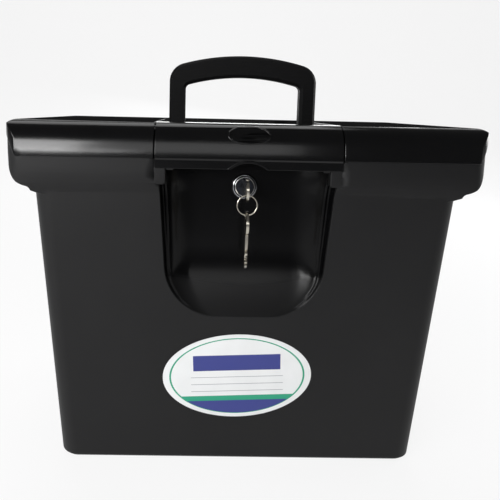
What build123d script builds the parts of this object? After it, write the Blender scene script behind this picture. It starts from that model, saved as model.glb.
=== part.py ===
from build123d import *
import math
import os

# Portable file box for letter-size hanging folders: a tapered bin with ears at its two ends, a hinged lid,
# a wide latch flap along the front of the lid, a folding carry handle, and a keyed cam lock in the front wall.
# Frame: +X to the right, the front faces -Y, +Z up, origin at the centre of the base on the floor. Millimetres.

# ---- bin ----
body_taper = 15.0
neck_drop = 22.7
body_corner_radius = 15.0
base_edge_bevel = 3.0
bin_wall = 2.8
base_groove_depth = 1.0
base_groove_width = 4.0
base_rim_width = 14.0
base_groove_radius = 12.0

# ---- collar and ears of the bin ----
overall_width = 353.0
ear_reach = 18.5
collar_depth = 196.0
collar_step = 2.5
collar_corner_radius = 14.0
rim_height = 245.7
rim_lip_height = 3.4
collar_bulge_height = 20.5
collar_bulge_drop = 28.7
collar_flare_angle = 66.0
ear_draft = 2.2
ear_arc_height = 17.5
ear_root_radius = 4.0
ear_root_drop = 22.9
ear_root_depth = 9.0
cheek_height = 14.7
cheek_base_width = 8.1
cheek_tip_width = 0.8
rail_height = 19.0
rail_end_gap = 4.0
rail_root = 3.0
collar_root = 0.5
rim_seat_drop = 0.5
lip_end_gap = 1.2

# ---- scoop in the front wall ----
scoop_depth = 24.2
scoop_top_half_width = 66.8
scoop_side_angle = 3.0
scoop_height = 124.7
scoop_corner_radius = 44.0
scoop_draft = 10.0
scoop_sweep_radius = 34.0

# ---- lid ----
lid_wall = 2.6
lid_gap = 0.6
ridge_rise = 25.5
lid_front_roll = 14.5
lid_face_rise = 13.0
lid_face_radius = 60.0
lid_rear_roll = 8.0
lid_corner_radius = 15.5
lid_end_radius = 7.5
lid_end_step = 1.0
lid_end_gap = 0.7
lid_bay_half_width = 68.3
lid_bay_wall_over_pivot = 1.0
lid_hollow_start = 8.0
lid_cross_wall = 4.0

# ---- latch flap ----
latch_wall = 2.4
latch_end_gap = 0.8
latch_skirt_step = 0.8
latch_skirt_height = 7.2
latch_pivot_inset = 2.5
latch_pivot_drop = 4.5
latch_flange = 4.5
latch_rim_gap = 0.8
latch_end_depth = 14.0
latch_end_radius = 4.2
latch_boss_radius = 3.4
latch_boss_length = 5.5
latch_boss_root = 0.5
latch_pivot_cover = 3.0
latch_bore_depth = 4.0
latch_pin_reach = 1.0
latch_notch_radius = 20.6
latch_border_width = 1.6
latch_border_height = 0.6
badge_half_width = 15.4
badge_half_height = 6.6
badge_line_width = 1.0
badge_height = 0.5
badge_rise = 17.6
catch_lug_width = 6.8
catch_lug_height = 17.5
catch_lug_inset = 0.8
catch_lug_depth = 8.3
catch_lug_root = 1.5
catch_lug_drop = 1.5
catch_bar_inset = 2.8
catch_bar_length = 6.8
catch_bar_thickness = 3.5
hook_width = 5.0
hook_reach = 7.3
hook_clearance = 1.0
hook_end_gap = 0.9
hook_thickness = 2.6
hook_root = 0.6
hook_arm_rise = 6.0

# ---- carry handle ----
handle_outer_width = 121.8
handle_inner_width = 95.0
handle_thickness = 12.5
handle_rise = 54.1
handle_grip_depth = 17.6
handle_arch_radius = 183.0
handle_outer_radius = 15.4
handle_inner_radius = 4.3
handle_edge_bevel = 2.2
handle_pivot_y = -30.0
handle_pivot_drop = 9.5
handle_floor_gap = 1.2
handle_side_gap = 0.8
handle_well_gap = 5.0
handle_lug_thickness = 4.0

# ---- pins ----
hinge_pin_radius = 1.5
latch_pin_radius = 1.5
handle_pin_radius = 2.0
running_gap = 0.05
pin_end_gap = 0.5

# ---- rear hinges ----
hinge_knuckle_radius = 3.2
hinge_end_inset = 68.5
hinge_knuckle_length = 12.0
hinge_knuckle_gap = 0.5
hinge_axis_offset = 4.9
hinge_swing_gap = 0.5
bin_knuckle_web = 10.0
lid_knuckle_web = 11.0
lid_knuckle_web_width = 1.1
lid_open_angle = 105.0
stop_nib_reach = 5.6
stop_nib_width = 2.2
stop_nib_lean = 7.0

# ---- cam lock ----
lock_drop = 23.1
bezel_radius = 10.0
bezel_thickness = 2.5
bezel_bevel = 1.2
barrel_radius = 8.0
barrel_length = 21.5
barrel_flat_half_width = 7.2
plug_radius = 5.5
plug_flange_radius = 6.7
plug_flange_thickness = 1.2
plug_flange_gap = 0.1
barrel_collar_overrun = 0.5
nut_across_flats = 20.0
nut_thickness = 4.0
washer_radius = 10.6
washer_thickness = 1.0
cam_length = 19.0
cam_width = 9.0
cam_thickness = 1.5
cam_gap = 0.2
cam_tip_gap = 3.0
cam_tail_half_width = 2.6
cam_hub_radius = 5.7
screw_radius = 1.9
screw_head_radius = 3.8
screw_head_height = 2.4
screw_shank_length = 3.2
screw_slot_width = 1.0
screw_slot_depth = 1.1
strike_gap = 0.7
strike_thickness = 3.0
strike_width = 5.0
strike_flange_length = 30.0
strike_flange_width = 12.0
strike_flange_thickness = 2.0
strike_flange_overhang = 10.0
strike_screw_inset = 4.5
strike_nose_gap = 1.4
strike_set_back = 0.8
strike_brace_depth = 7.0
strike_brace_height = 22.0
strike_root = 0.5
strike_screw_radius = 1.4
strike_screw_length = 4.0
strike_screw_head_radius = 2.6
strike_screw_head_height = 1.3
wafer_count = 4
wafer_thickness = 0.9
wafer_width = 5.0
wafer_gap = 0.1
wafer_start = 4.5
wafer_pitch = 3.2
wafer_window_side_gap = 0.35
wafer_window_top_gap = 0.45

# ---- keys and ring ----
key_thickness = 2.0
key_blade_length = 18.5
key_blade_height = 6.4
key_blade_root = 6.0
key_tip_length = 3.0
key_tip_height = 1.2
key_bow_radius = 9.0
key_bow_centre = 15.2
key_hole_centre = 20.2
key_hole_length = 4.0
key_hole_width = 8.0
key_hole_corner = 1.9
key_neck_height = 8.4
key_notch_depths = (1.6, 0.8, 2.0, 1.2)
key_notch_half_width = 1.6
key_shoulder_gap = 0.6
keyway_side_gap = 0.1
keyway_top_gap = 0.2
ring_radius = 7.3
ring_wire_radius = 0.6
ring_wire_sides = 6
ring_swing_gap = 0.15
spare_key_gap = 0.3

# ---- contents label ----
label_width = 116.0
label_height = 70.5
label_thickness = 0.25
label_centre_x = -2.4
label_centre_z = 74.3
label_tilt = 2.5

# ---- sizes worked out from those above ----
half_width = overall_width / 2
neck_width = overall_width - 2 * ear_reach
base_width = neck_width - 2 * body_taper
neck_depth = collar_depth - 2 * collar_step
base_depth = neck_depth - 2 * body_taper
neck_height = rim_height - neck_drop
collar_bulge_start = rim_height - collar_bulge_drop
ear_root_height = rim_height - ear_root_drop
scoop_bottom = rim_height - scoop_height
ridge_height = rim_height + ridge_rise
handle_top = ridge_height + handle_rise
collar_half_depth = collar_depth / 2
rim_top = rim_height + rim_lip_height
lid_half_depth = collar_half_depth + lid_gap + lid_wall
lid_roll_height = ridge_height - rim_height
lid_rear_radius = (lid_rear_roll**2 + lid_roll_height**2) / (2 * lid_rear_roll)
lid_face_lean = math.asin(lid_face_rise / lid_face_radius)
lid_face_setback = lid_face_radius * (1 - math.cos(lid_face_lean))
roll_chord = math.hypot(lid_front_roll - lid_face_setback, lid_roll_height - lid_face_rise)
roll_chord_lean = math.atan2(lid_front_roll - lid_face_setback, lid_roll_height - lid_face_rise)
lid_roll_radius = roll_chord / (2 * math.sin(roll_chord_lean - lid_face_lean))
lid_roll_turn = 2 * roll_chord_lean - lid_face_lean
scoop_back = -collar_half_depth + scoop_depth
bay_wall_front = scoop_back - lid_gap - lid_wall
bay_wall_back = bay_wall_front + lid_wall
latch_half_width = lid_bay_half_width - latch_end_gap
latch_pivot_y = -lid_half_depth + lid_front_roll + latch_pivot_inset
latch_pivot_z = ridge_height - latch_pivot_drop
latch_skirt_front = -lid_half_depth + latch_skirt_step
latch_skirt_bottom = rim_height - latch_skirt_height
handle_pivot_z = ridge_height - handle_pivot_drop
handle_reach = handle_top - handle_pivot_z
well_floor = handle_pivot_z - handle_thickness / 2 - handle_floor_gap
well_back = handle_pivot_y + handle_reach + handle_well_gap
hinge_axis_y = collar_half_depth + hinge_axis_offset
hinge_axis_z = rim_height
hinge_centre_x = half_width - hinge_end_inset
lock_height = rim_height - lock_drop
scoop_inner_face = scoop_back + bin_wall
barrel_end = scoop_back + barrel_length
bezel_face = scoop_back - bezel_thickness
cam_front = barrel_end + cam_gap
key_shoulder_y = bezel_face - key_shoulder_gap
ring_y = key_shoulder_y - key_hole_centre
bow_half_height_at_hole = math.sqrt(key_bow_radius**2 - (key_hole_centre - key_bow_centre) ** 2)
bow_rim_middle = (key_hole_width / 2 + bow_half_height_at_hole) / 2
bow_rim_reach = math.hypot(key_thickness / 2, (bow_half_height_at_hole - key_hole_width / 2) / 2)
ring_drop = ring_radius - ring_wire_radius - bow_rim_reach - ring_swing_gap
ring_pivot_z = lock_height - bow_rim_middle
ring_centre_z = ring_pivot_z - ring_drop
ring_bottom_z = ring_centre_z - ring_radius
cut_overrun = 60.0
latch_inside_overrun = 8.0
scoop_front_overrun = 6.0
far = 400.0


def taper_half(base, neck, z):
    """Half of a body size at height z, on the straight line from the base to the neck."""
    return (base + (neck - base) * z / neck_height) / 2


def block(x0, x1, y0, y1, z0, z1):
    """Box between two corners."""
    return Pos((x0 + x1) / 2, (y0 + y1) / 2, (z0 + z1) / 2) * Box(x1 - x0, y1 - y0, z1 - z0)


def rod(axis_letter, radius, start, end, a, b):
    """Cylinder along X, Y or Z from start to end; a and b are the other two coordinates in order."""
    length = end - start
    middle = (start + end) / 2
    if axis_letter == "X":
        return Pos(middle, a, b) * Rot(0, 90, 0) * Cylinder(radius, length)
    if axis_letter == "Y":
        return Pos(a, middle, b) * Rot(90, 0, 0) * Cylinder(radius, length)
    return Pos(a, b, middle) * Cylinder(radius, length)


def front_outline(wire_or_face, y0, y1):
    """Extrudes a face drawn in X and Z (as local x and y) from y0 back to y1."""
    plane = Plane(origin=(0, y1, 0), x_dir=(1, 0, 0), z_dir=(0, -1, 0))
    return extrude(plane * wire_or_face, y1 - y0)


def side_outline(face, x0, x1):
    """Extrudes a face drawn in Y and Z (as local x and y) from x0 to x1."""
    plane = Plane(origin=(x0, 0, 0), x_dir=(0, 1, 0), z_dir=(1, 0, 0))
    return extrude(plane * face, x1 - x0)


def mirrored(shape):
    """The same shape on the other side of the middle plane X = 0."""
    return mirror(shape, about=Plane.YZ)


def body_form(inset, floor):
    """Tapered body of the bin, drawn in by inset on every side, from the neck down to height floor."""
    form = front_outline(taper_face(base_width, neck_width, inset, floor), -far / 2, far / 2)
    form &= side_outline(taper_face(base_depth, neck_depth, inset, floor), -far / 2, far / 2)
    upright = [edge for edge in form.edges() if abs(edge.tangent_at(0).Z) > 0.5]
    return fillet(upright, body_corner_radius - inset)


def taper_face(base, neck, inset, floor):
    """Outline of the tapered body seen square to one of its walls."""
    low = taper_half(base, neck, floor) - inset
    high = neck / 2 - inset
    return make_face(Polyline((-low, floor), (low, floor), (high, neck_height), (-high, neck_height), close=True))


def collar_side_face(inset, top):
    """Collar seen from the side: a soft bulge that runs out of the body wall and then stands straight."""
    out = collar_half_depth - inset
    start_y = taper_half(base_depth, neck_depth, collar_bulge_start) - inset - collar_root
    bulge_top = collar_bulge_start + collar_bulge_height
    reach = out - start_y
    radius = (reach**2 + collar_bulge_height**2) / (2 * reach)
    angle = math.asin(collar_bulge_height / radius) / 2
    mid_y = out - radius + radius * math.cos(angle)
    mid_z = bulge_top - radius * math.sin(angle)
    edge = Line((start_y, collar_bulge_start), (-start_y, collar_bulge_start))
    edge += ThreePointArc((-start_y, collar_bulge_start), (-mid_y, mid_z), (-out, bulge_top))
    edge += Polyline((-out, bulge_top), (-out, top), (out, top), (out, bulge_top))
    edge += ThreePointArc((out, bulge_top), (mid_y, mid_z), (start_y, collar_bulge_start))
    return make_face(edge)


def ear_front_face(inset, top):
    """Both ears seen from the front: drafted outer walls, a large arc under each and a root at the body."""
    outer = half_width - inset
    wall = outer - ear_draft
    low = ear_root_height + inset
    foot = low - ear_root_depth
    root = taper_half(base_width, neck_width, low) - inset
    shoulder = ear_root_height + ear_arc_height
    reach = wall - root
    rise = shoulder - low
    eighth_turn = math.pi / 4
    middle = (wall - reach * (1 - math.cos(eighth_turn)), shoulder - rise * math.sin(eighth_turn))
    foot_x = taper_half(base_width, neck_width, foot) - inset
    edge = Polyline((0, top), (0, foot), (foot_x, foot), (root, low))
    edge += ThreePointArc((root, low), middle, (wall, shoulder))
    edge += Polyline((wall, shoulder), (outer, rim_height + cheek_height), (outer, top), (0, top))
    half = make_face(edge)
    root_corner = half.vertices().sort_by_distance((root, low, 0))[0]
    half = fillet(root_corner, ear_root_radius + inset)
    return half + mirror(half, about=Plane.YZ)


def collar_form(inset, top):
    """Collar with its two ears, drawn in by inset, up to height top."""
    plan = RectangleRounded(
        overall_width - 2 * inset, collar_depth - 2 * inset, collar_corner_radius - inset
    )
    form = front_outline(ear_front_face(inset, top), -far / 2, far / 2)
    form &= side_outline(collar_side_face(inset, top), -far / 2, far / 2)
    form &= extrude(Pos(0, 0, collar_bulge_start - 1) * plan, top)
    return form & corner_flare(inset, top)


def corner_flare(inset, top):
    """Space that opens upward from the body's outline, so that its rounded corners run out into the collar's."""
    start = collar_bulge_start + inset / 2
    wide = 2 * taper_half(base_width, neck_width, start) - 2 * inset
    deep = 2 * taper_half(base_depth, neck_depth, start) - 2 * inset
    outline = RectangleRounded(wide, deep, body_corner_radius - inset)
    return extrude(Pos(0, 0, start) * outline, top - start, taper=-collar_flare_angle)


def cheek_inner_x(z):
    """X of the sloping top of the cheek at height z, the bed of the lid's slanted end."""
    tip = half_width - cheek_tip_width
    return tip - cheek_base_width * (rim_height + cheek_height - z) / (cheek_height + rim_seat_drop)


def cheek_trim():
    """What lies above the bin: the space over the rim and over the sloping cheeks."""
    top = rim_height + cheek_height
    seat = rim_height - rim_seat_drop
    lip_end = cheek_inner_x(seat) - lid_wall - lip_end_gap
    points = [
        (0, rim_top),
        (lip_end, rim_top),
        (lip_end, seat),
        (cheek_inner_x(seat), seat),
        (half_width - cheek_tip_width, top),
        (half_width + cut_overrun, top),
        (half_width + cut_overrun, top + cut_overrun),
        (0, top + cut_overrun),
    ]
    half = make_face(Polyline(*points, close=True))
    return front_outline(half + mirror(half, about=Plane.YZ), -far / 2, far / 2)


def scoop_half_width(z):
    """Half width of the scoop's mouth at height z, between its slightly leaning sides."""
    return scoop_top_half_width - math.tan(math.radians(scoop_side_angle)) * (rim_height - z)


def scoop_profile(grow):
    """Side view of the space the scoop takes: an arc in from the front wall, then a flat upright back."""
    front = -collar_half_depth - cut_overrun
    back = scoop_back + grow
    mouth_y = -taper_half(base_depth, neck_depth, scoop_bottom)
    mouth_rise = (mouth_y + collar_half_depth + scoop_front_overrun) * math.tan(math.radians(scoop_draft))
    mouth_z = scoop_bottom + mouth_rise - grow
    reach = back - mouth_y
    turn = math.acos(1 - reach / scoop_sweep_radius)
    top_z = mouth_z + scoop_sweep_radius * math.sin(turn)
    middle_y = back - scoop_sweep_radius * (1 - math.cos(turn / 2))
    middle_z = top_z - scoop_sweep_radius * math.sin(turn / 2)
    high = rim_height + cut_overrun
    profile = Polyline((back, top_z), (back, high), (front, high), (front, mouth_z), (mouth_y, mouth_z))
    profile += ThreePointArc((mouth_y, mouth_z), (middle_y, middle_z), (back, top_z))
    return make_face(profile)


def scoop_form(grow):
    """The hollow in the front wall: a U drawn from the front, with a flat back that sweeps out at the foot."""
    high = rim_height + cut_overrun
    half_low = scoop_half_width(scoop_bottom)
    half_high = scoop_half_width(high)
    corners = [(-half_high, high), (-half_low, scoop_bottom), (half_low, scoop_bottom), (half_high, high)]
    face = make_face(Polyline(*corners, close=True))
    face = fillet(face.vertices().sort_by(Axis.Y)[:2], scoop_corner_radius)
    if grow:
        face = offset(face, grow)
    front = -collar_half_depth - scoop_front_overrun
    plane = Plane(origin=(0, front, 0), x_dir=(1, 0, 0), z_dir=(0, -1, 0))
    depth = scoop_depth + scoop_front_overrun + grow
    cutter = extrude(plane * face, -depth, taper=scoop_draft)
    return cutter & side_outline(scoop_profile(grow), -far / 2, far / 2)


def make_bin():
    """The bin: body, collar, ears, scoop, folder rails, latch catches and hinge knuckles in one moulding."""
    body = body_form(0, 0)
    body = chamfer(body.faces().sort_by(Axis.Z)[0].edges(), base_edge_bevel)
    outer = body + collar_form(0, rim_height + cheek_height + bin_wall)
    hollow = body_form(bin_wall, bin_wall) + collar_form(bin_wall, rim_height + cheek_height + cut_overrun / 2)
    shell = (outer - scoop_form(0)) - (hollow - scoop_form(bin_wall))
    shell -= cheek_trim()
    shell -= base_groove()
    rail_outer = neck_width / 2
    rail_depth = neck_depth / 2 - bin_wall - rail_end_gap
    rail_foot = neck_height - rail_root
    rail = block(
        rail_outer - bin_wall, rail_outer, -rail_depth, rail_depth, rail_foot, neck_height + rail_height
    )
    shell += rail + mirrored(rail)
    lug = catch_lug()
    shell += lug + mirrored(lug)
    scoop_narrowing = (scoop_depth + scoop_front_overrun) * math.tan(math.radians(scoop_draft))
    notch_inner = scoop_top_half_width - scoop_narrowing - lid_gap
    notch_outer = lid_bay_half_width + lid_wall + lid_gap
    notch_back = scoop_inner_face + lid_gap
    notch = block(notch_inner, notch_outer, -far / 2, notch_back, rim_height - rim_seat_drop, far)
    shell -= notch + mirrored(notch)
    shell -= rod("Y", barrel_radius + running_gap, scoop_back - 5, scoop_inner_face + 5, 0, lock_height)
    for side in (-1, 1):
        for k in (-1, 1):
            centre = side * hinge_centre_x + k * (hinge_knuckle_length + hinge_knuckle_gap)
            shell += bin_knuckle(centre)
        gap_length = hinge_knuckle_length / 2 + hinge_knuckle_gap
        shell -= rod(
            "X",
            hinge_knuckle_radius + hinge_swing_gap,
            side * hinge_centre_x - gap_length,
            side * hinge_centre_x + gap_length,
            hinge_axis_y,
            hinge_axis_z,
        )
        reach = 1.5 * hinge_knuckle_length + hinge_knuckle_gap
        centre_x = side * hinge_centre_x
        shell -= rod("X", hinge_pin_radius, centre_x - reach - 1, centre_x + reach + 1, hinge_axis_y, hinge_axis_z)
    return shell


def catch_lug():
    """Right catch lug inside the scoop: an upright block on the side wall with the bar the latch hooks under."""
    front = -collar_half_depth + catch_lug_inset
    back = front + catch_lug_depth
    top = rim_height - catch_lug_drop
    inner = scoop_top_half_width - catch_lug_width
    lug = block(inner, scoop_top_half_width + catch_lug_root, front, back, top - catch_lug_height, top)
    bar_front = front + catch_bar_inset
    return lug + block(inner - catch_bar_length, inner, bar_front, back, top - catch_bar_thickness, top)


def base_groove():
    """Shallow groove that runs round the underside of the base."""
    outer_x = base_width - 2 * base_rim_width
    outer_y = base_depth - 2 * base_rim_width
    inner_radius = base_groove_radius - base_groove_width
    groove = RectangleRounded(outer_x, outer_y, base_groove_radius)
    groove -= RectangleRounded(outer_x - 2 * base_groove_width, outer_y - 2 * base_groove_width, inner_radius)
    return extrude(groove, base_groove_depth)


def bin_knuckle(centre):
    """One bin knuckle round the hinge pin, with the web that joins it to the rear wall."""
    x0 = centre - hinge_knuckle_length / 2
    x1 = centre + hinge_knuckle_length / 2
    wall_y = collar_half_depth - bin_wall / 2
    web = Polyline(
        (wall_y, hinge_axis_z - bin_knuckle_web),
        (hinge_axis_y + hinge_knuckle_radius, hinge_axis_z),
        (wall_y, hinge_axis_z),
        close=True,
    )
    return side_outline(make_face(web), x0, x1) + rod(
        "X", hinge_knuckle_radius, x0, x1, hinge_axis_y, hinge_axis_z
    )


def front_roll_points(inset):
    """Points up the front roll, drawn in by inset: foot, middle and end of the face, middle and end of the roll."""
    face_y = -lid_half_depth + lid_face_radius
    face = lid_face_radius - inset
    roll = lid_roll_radius - inset
    roll_y = face_y - (lid_face_radius - lid_roll_radius) * math.cos(lid_face_lean)
    roll_z = rim_height + (lid_face_radius - lid_roll_radius) * math.sin(lid_face_lean)
    end = math.asin((ridge_height - inset - roll_z) / roll)
    if lid_roll_turn > math.pi / 2:
        end = math.pi - end
    middle = (lid_face_lean + end) / 2
    half_lean = lid_face_lean / 2
    return [
        (face_y - face, rim_height),
        (face_y - face * math.cos(half_lean), rim_height + face * math.sin(half_lean)),
        (face_y - face * math.cos(lid_face_lean), rim_height + face * math.sin(lid_face_lean)),
        (roll_y - roll * math.cos(middle), roll_z + roll * math.sin(middle)),
        (roll_y - roll * math.cos(end), roll_z + roll * math.sin(end)),
    ]


def lid_side_face(inset, bottom):
    """Lid seen from the side: front face and roll, ridge, flat top, and the gentler roll at the rear."""
    out = lid_half_depth - inset
    top = ridge_height - inset
    radius = lid_rear_radius - inset
    centre = lid_half_depth - lid_rear_radius
    angle = math.asin((top - rim_height) / radius)
    rear_y = centre + radius * math.cos(angle)
    middle = (centre + radius * math.cos(angle / 2), rim_height + radius * math.sin(angle / 2))
    foot, face_middle, face_end, roll_middle, ridge = front_roll_points(inset)
    edge = ThreePointArc(foot, face_middle, face_end) + ThreePointArc(face_end, roll_middle, ridge)
    edge += Line(ridge, (rear_y, top))
    edge += ThreePointArc((rear_y, top), middle, (out, rim_height))
    if bottom < rim_height:
        edge += Polyline((out, rim_height), (out, bottom), (-out, bottom), (-out, rim_height))
    else:
        edge += Line((out, rim_height), (-out, rim_height))
    return make_face(edge)


def lid_end_x(z, inset):
    """X of the slanted lower end of the lid at height z, drawn in by inset square to the slope."""
    slope = cheek_base_width / (cheek_height + rim_seat_drop)
    top_x = half_width - lid_end_step - inset * math.hypot(1, slope)
    return top_x - slope * (rim_height + cheek_height + lid_end_gap - z)


def lid_front_face(inset, bottom):
    """Lid seen from the front: rounded top corners and ends that slant in below the cheeks' tips."""
    outer = half_width - inset
    top = ridge_height - inset
    step_z = rim_height + cheek_height + lid_end_gap + inset
    radius = lid_end_radius - inset
    points = [(0, bottom), (lid_end_x(bottom, inset), bottom), (lid_end_x(step_z, inset), step_z)]
    if inset == 0:
        points.append((outer, step_z))
    points += [(outer, top), (0, top)]
    half = make_face(Polyline(*points, close=True))
    corner = half.vertices().sort_by_distance((outer, top, 0))[0]
    half = fillet(corner, radius)
    return half + mirror(half, about=Plane.YZ)


def lid_form(inset, bottom):
    """Whole outer form of the closed lid, drawn in by inset, down to height bottom."""
    plan = RectangleRounded(overall_width - 2 * inset, 2 * (lid_half_depth - inset), lid_corner_radius - inset)
    form = side_outline(lid_side_face(inset, bottom), -far / 2, far / 2)
    form &= front_outline(lid_front_face(inset, bottom), -far / 2, far / 2)
    form &= extrude(Pos(0, 0, bottom - 1) * plan, ridge_height)
    return form


def make_lid():
    """The lid: two rolled end sections, a latch bay and handle well between them, lugs, knuckles and keeper."""
    solid = lid_form(0, rim_height)
    shell = solid - lid_form(lid_wall, rim_height - lid_hollow_start)
    bay = lid_bay_half_width
    wall = bay + lid_wall
    walls = block(-wall, wall, -far / 2, well_back + lid_wall, rim_height, far) & solid
    shell += walls
    under_floor = well_floor - lid_wall
    shell -= block(-bay, bay, bay_wall_back, well_back + lid_wall, rim_height - 1, under_floor)
    cross_wall_back = bay_wall_back + lid_cross_wall
    shell -= block(-wall - 1, wall + 1, cross_wall_back, well_back + lid_wall + 1, rim_height - 1, under_floor)
    shell -= block(-bay, bay, bay_wall_back, well_back, well_floor, far)
    shell -= block(-bay, bay, -far / 2, bay_wall_front, rim_height - 1, far)
    wall_top = latch_pivot_z + lid_bay_wall_over_pivot
    shell -= block(-bay, bay, bay_wall_front - 1, bay_wall_back + 1, wall_top, far)
    for side in (-1, 1):
        shell += lid_handle_lugs(side)
        shell += latch_pin_boss(side)
        shell -= lid_pin_bores(side)
        shell += lid_knuckle(side * hinge_centre_x)
        for k in (-1, 1):
            centre = side * hinge_centre_x + k * (hinge_knuckle_length + hinge_knuckle_gap)
            reach = hinge_knuckle_length / 2 + hinge_knuckle_gap
            shell -= rod(
                "X",
                hinge_knuckle_radius + hinge_swing_gap,
                centre - reach,
                centre + reach,
                hinge_axis_y,
                hinge_axis_z,
            )
        reach = 1.5 * hinge_knuckle_length + hinge_knuckle_gap
        centre_x = side * hinge_centre_x
        bore = hinge_pin_radius + running_gap
        shell -= rod("X", bore, centre_x - reach - 1, centre_x + reach + 1, hinge_axis_y, hinge_axis_z)
    hole_top = under_floor + strike_screw_length - strike_flange_thickness
    for x in strike_screw_places():
        shell -= rod("Z", strike_screw_radius, under_floor - 1, hole_top, x, strike_screw_y())
    return shell


def lid_handle_lugs(side):
    """The two lugs that stand on the well floor either side of one handle leg."""
    lugs = []
    outer = handle_outer_width / 2 + handle_side_gap
    inner = handle_inner_width / 2 - handle_side_gap
    for x0 in (outer, inner - handle_lug_thickness):
        half = handle_thickness / 2
        base = block(
            x0, x0 + handle_lug_thickness, handle_pivot_y - half, handle_pivot_y + half, well_floor - 1, handle_pivot_z
        )
        lugs.append(base + rod("X", half, x0, x0 + handle_lug_thickness, handle_pivot_y, handle_pivot_z))
    pair = lugs[0] + lugs[1]
    return pair if side > 0 else mirrored(pair)


def latch_pin_boss(side):
    """Boss inside the lid's end section that holds one latch pin."""
    x0 = lid_bay_half_width + lid_wall - latch_boss_root
    boss = rod("X", latch_boss_radius, x0, x0 + latch_boss_length, latch_pivot_y, latch_pivot_z)
    boss &= lid_form(0, rim_height)
    return boss if side > 0 else mirrored(boss)


def latch_bore_end():
    """X at which the blind bore for a latch pin ends inside its boss."""
    return lid_bay_half_width + lid_wall + latch_bore_depth


def lid_pin_bores(side):
    """Bores in the lid for one latch pin and one handle pin."""
    bores = rod("X", latch_pin_radius, lid_bay_half_width - 1, latch_bore_end(), latch_pivot_y, latch_pivot_z)
    start, end = handle_pin_ends()
    bores += rod("X", handle_pin_radius, start - 1, end + 1, handle_pivot_y, handle_pivot_z)
    return bores if side > 0 else mirrored(bores)


def lid_knuckle(centre):
    """Lid knuckle with the web up to the rear skirt and the nib that stops the open lid on the bin wall."""
    x0 = centre - hinge_knuckle_length / 2
    x1 = centre + hinge_knuckle_length / 2
    web = Polyline(
        (lid_half_depth - lid_wall, hinge_axis_z),
        (hinge_axis_y + hinge_knuckle_radius, hinge_axis_z),
        (lid_half_depth - lid_wall + lid_knuckle_web_width, hinge_axis_z + lid_knuckle_web),
        (lid_half_depth - lid_wall, hinge_axis_z + lid_knuckle_web),
        close=True,
    )
    solid = side_outline(make_face(web), x0, x1) - lid_form(lid_wall, rim_height)
    solid += rod("X", hinge_knuckle_radius, x0, x1, hinge_axis_y, hinge_axis_z)
    wall_angle = math.degrees(math.acos(hinge_axis_offset / stop_nib_reach))
    rest_angle = lid_open_angle + wall_angle - 180 + stop_nib_lean
    nib = block(x0, x1, hinge_knuckle_radius - 1, stop_nib_reach, 0, stop_nib_width)
    return solid + Pos(0, hinge_axis_y, hinge_axis_z) * Rot(rest_angle, 0, 0) * nib


def strike_front_y():
    """Y of the front of the strike, which straddles the plane the cam turns in."""
    return cam_front + cam_thickness / 2 + strike_set_back - strike_width / 2


def make_lock_strike():
    """The strike under the lid: a screwed flange with a hook that the turned cam passes over."""
    foot_top = lock_height - cam_width / 2 - strike_gap
    foot_bottom = foot_top - strike_thickness
    leg_inner = cam_length + cam_tip_gap
    leg_outer = leg_inner + strike_thickness
    foot_inner = barrel_radius + strike_nose_gap
    y0 = strike_front_y()
    y1 = y0 + strike_width
    top = well_floor - lid_wall
    hook = block(leg_inner, leg_outer, y0, y1, foot_bottom, top)
    hook += block(foot_inner, leg_outer, y0, y1, foot_bottom, foot_top)
    brace_front = y1 - strike_root
    brace = [(brace_front, top), (y1 + strike_brace_depth, top), (brace_front, top - strike_brace_height)]
    hook += side_outline(make_face(Polyline(*brace, close=True)), leg_inner, leg_outer)
    flange_end = leg_outer + strike_flange_overhang
    flange_bottom = top - strike_flange_thickness
    flange_back = y0 + strike_flange_width
    hook += block(flange_end - strike_flange_length, flange_end, y0, flange_back, flange_bottom, top)
    for x in strike_screw_places():
        hook -= rod("Z", strike_screw_radius, flange_bottom - 1, top + 1, x, strike_screw_y())
    return hook


def strike_screw_places():
    """X of the two screws, one each side of the hook's leg."""
    flange_end = cam_length + cam_tip_gap + strike_thickness + strike_flange_overhang
    return (flange_end - strike_flange_length + strike_screw_inset, flange_end - strike_screw_inset)


def strike_screw_y():
    """Y of both strike screws, on the middle line of the flange."""
    return strike_front_y() + strike_flange_width / 2


def make_strike_screws():
    """Two small screws up through the flange into the lid."""
    under = well_floor - lid_wall - strike_flange_thickness
    screws = []
    for x in strike_screw_places():
        shank = rod("Z", strike_screw_radius, under, under + strike_screw_length, x, strike_screw_y())
        head = rod("Z", strike_screw_head_radius, under - strike_screw_head_height, under, x, strike_screw_y())
        screws.append(shank + head)
    return Compound(children=screws)


def latch_side_face(inset):
    """Latch seen from the side: rear flange, ridge, roll, a small step in, and the skirt."""
    top = ridge_height - inset
    cut = latch_inside_overrun if inset > 0 else 0
    back = latch_pivot_y + latch_flange + cut
    low = latch_skirt_bottom - cut
    skirt_y = latch_skirt_front + inset
    foot, face_middle, face_end, roll_middle, ridge = front_roll_points(inset)
    edge = Polyline((back, low), (back, top), ridge)
    edge += ThreePointArc(ridge, roll_middle, face_end) + ThreePointArc(face_end, face_middle, foot)
    edge += Polyline(foot, (skirt_y, rim_height - latch_skirt_step), (skirt_y, low), (back, low))
    return make_face(edge)


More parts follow.
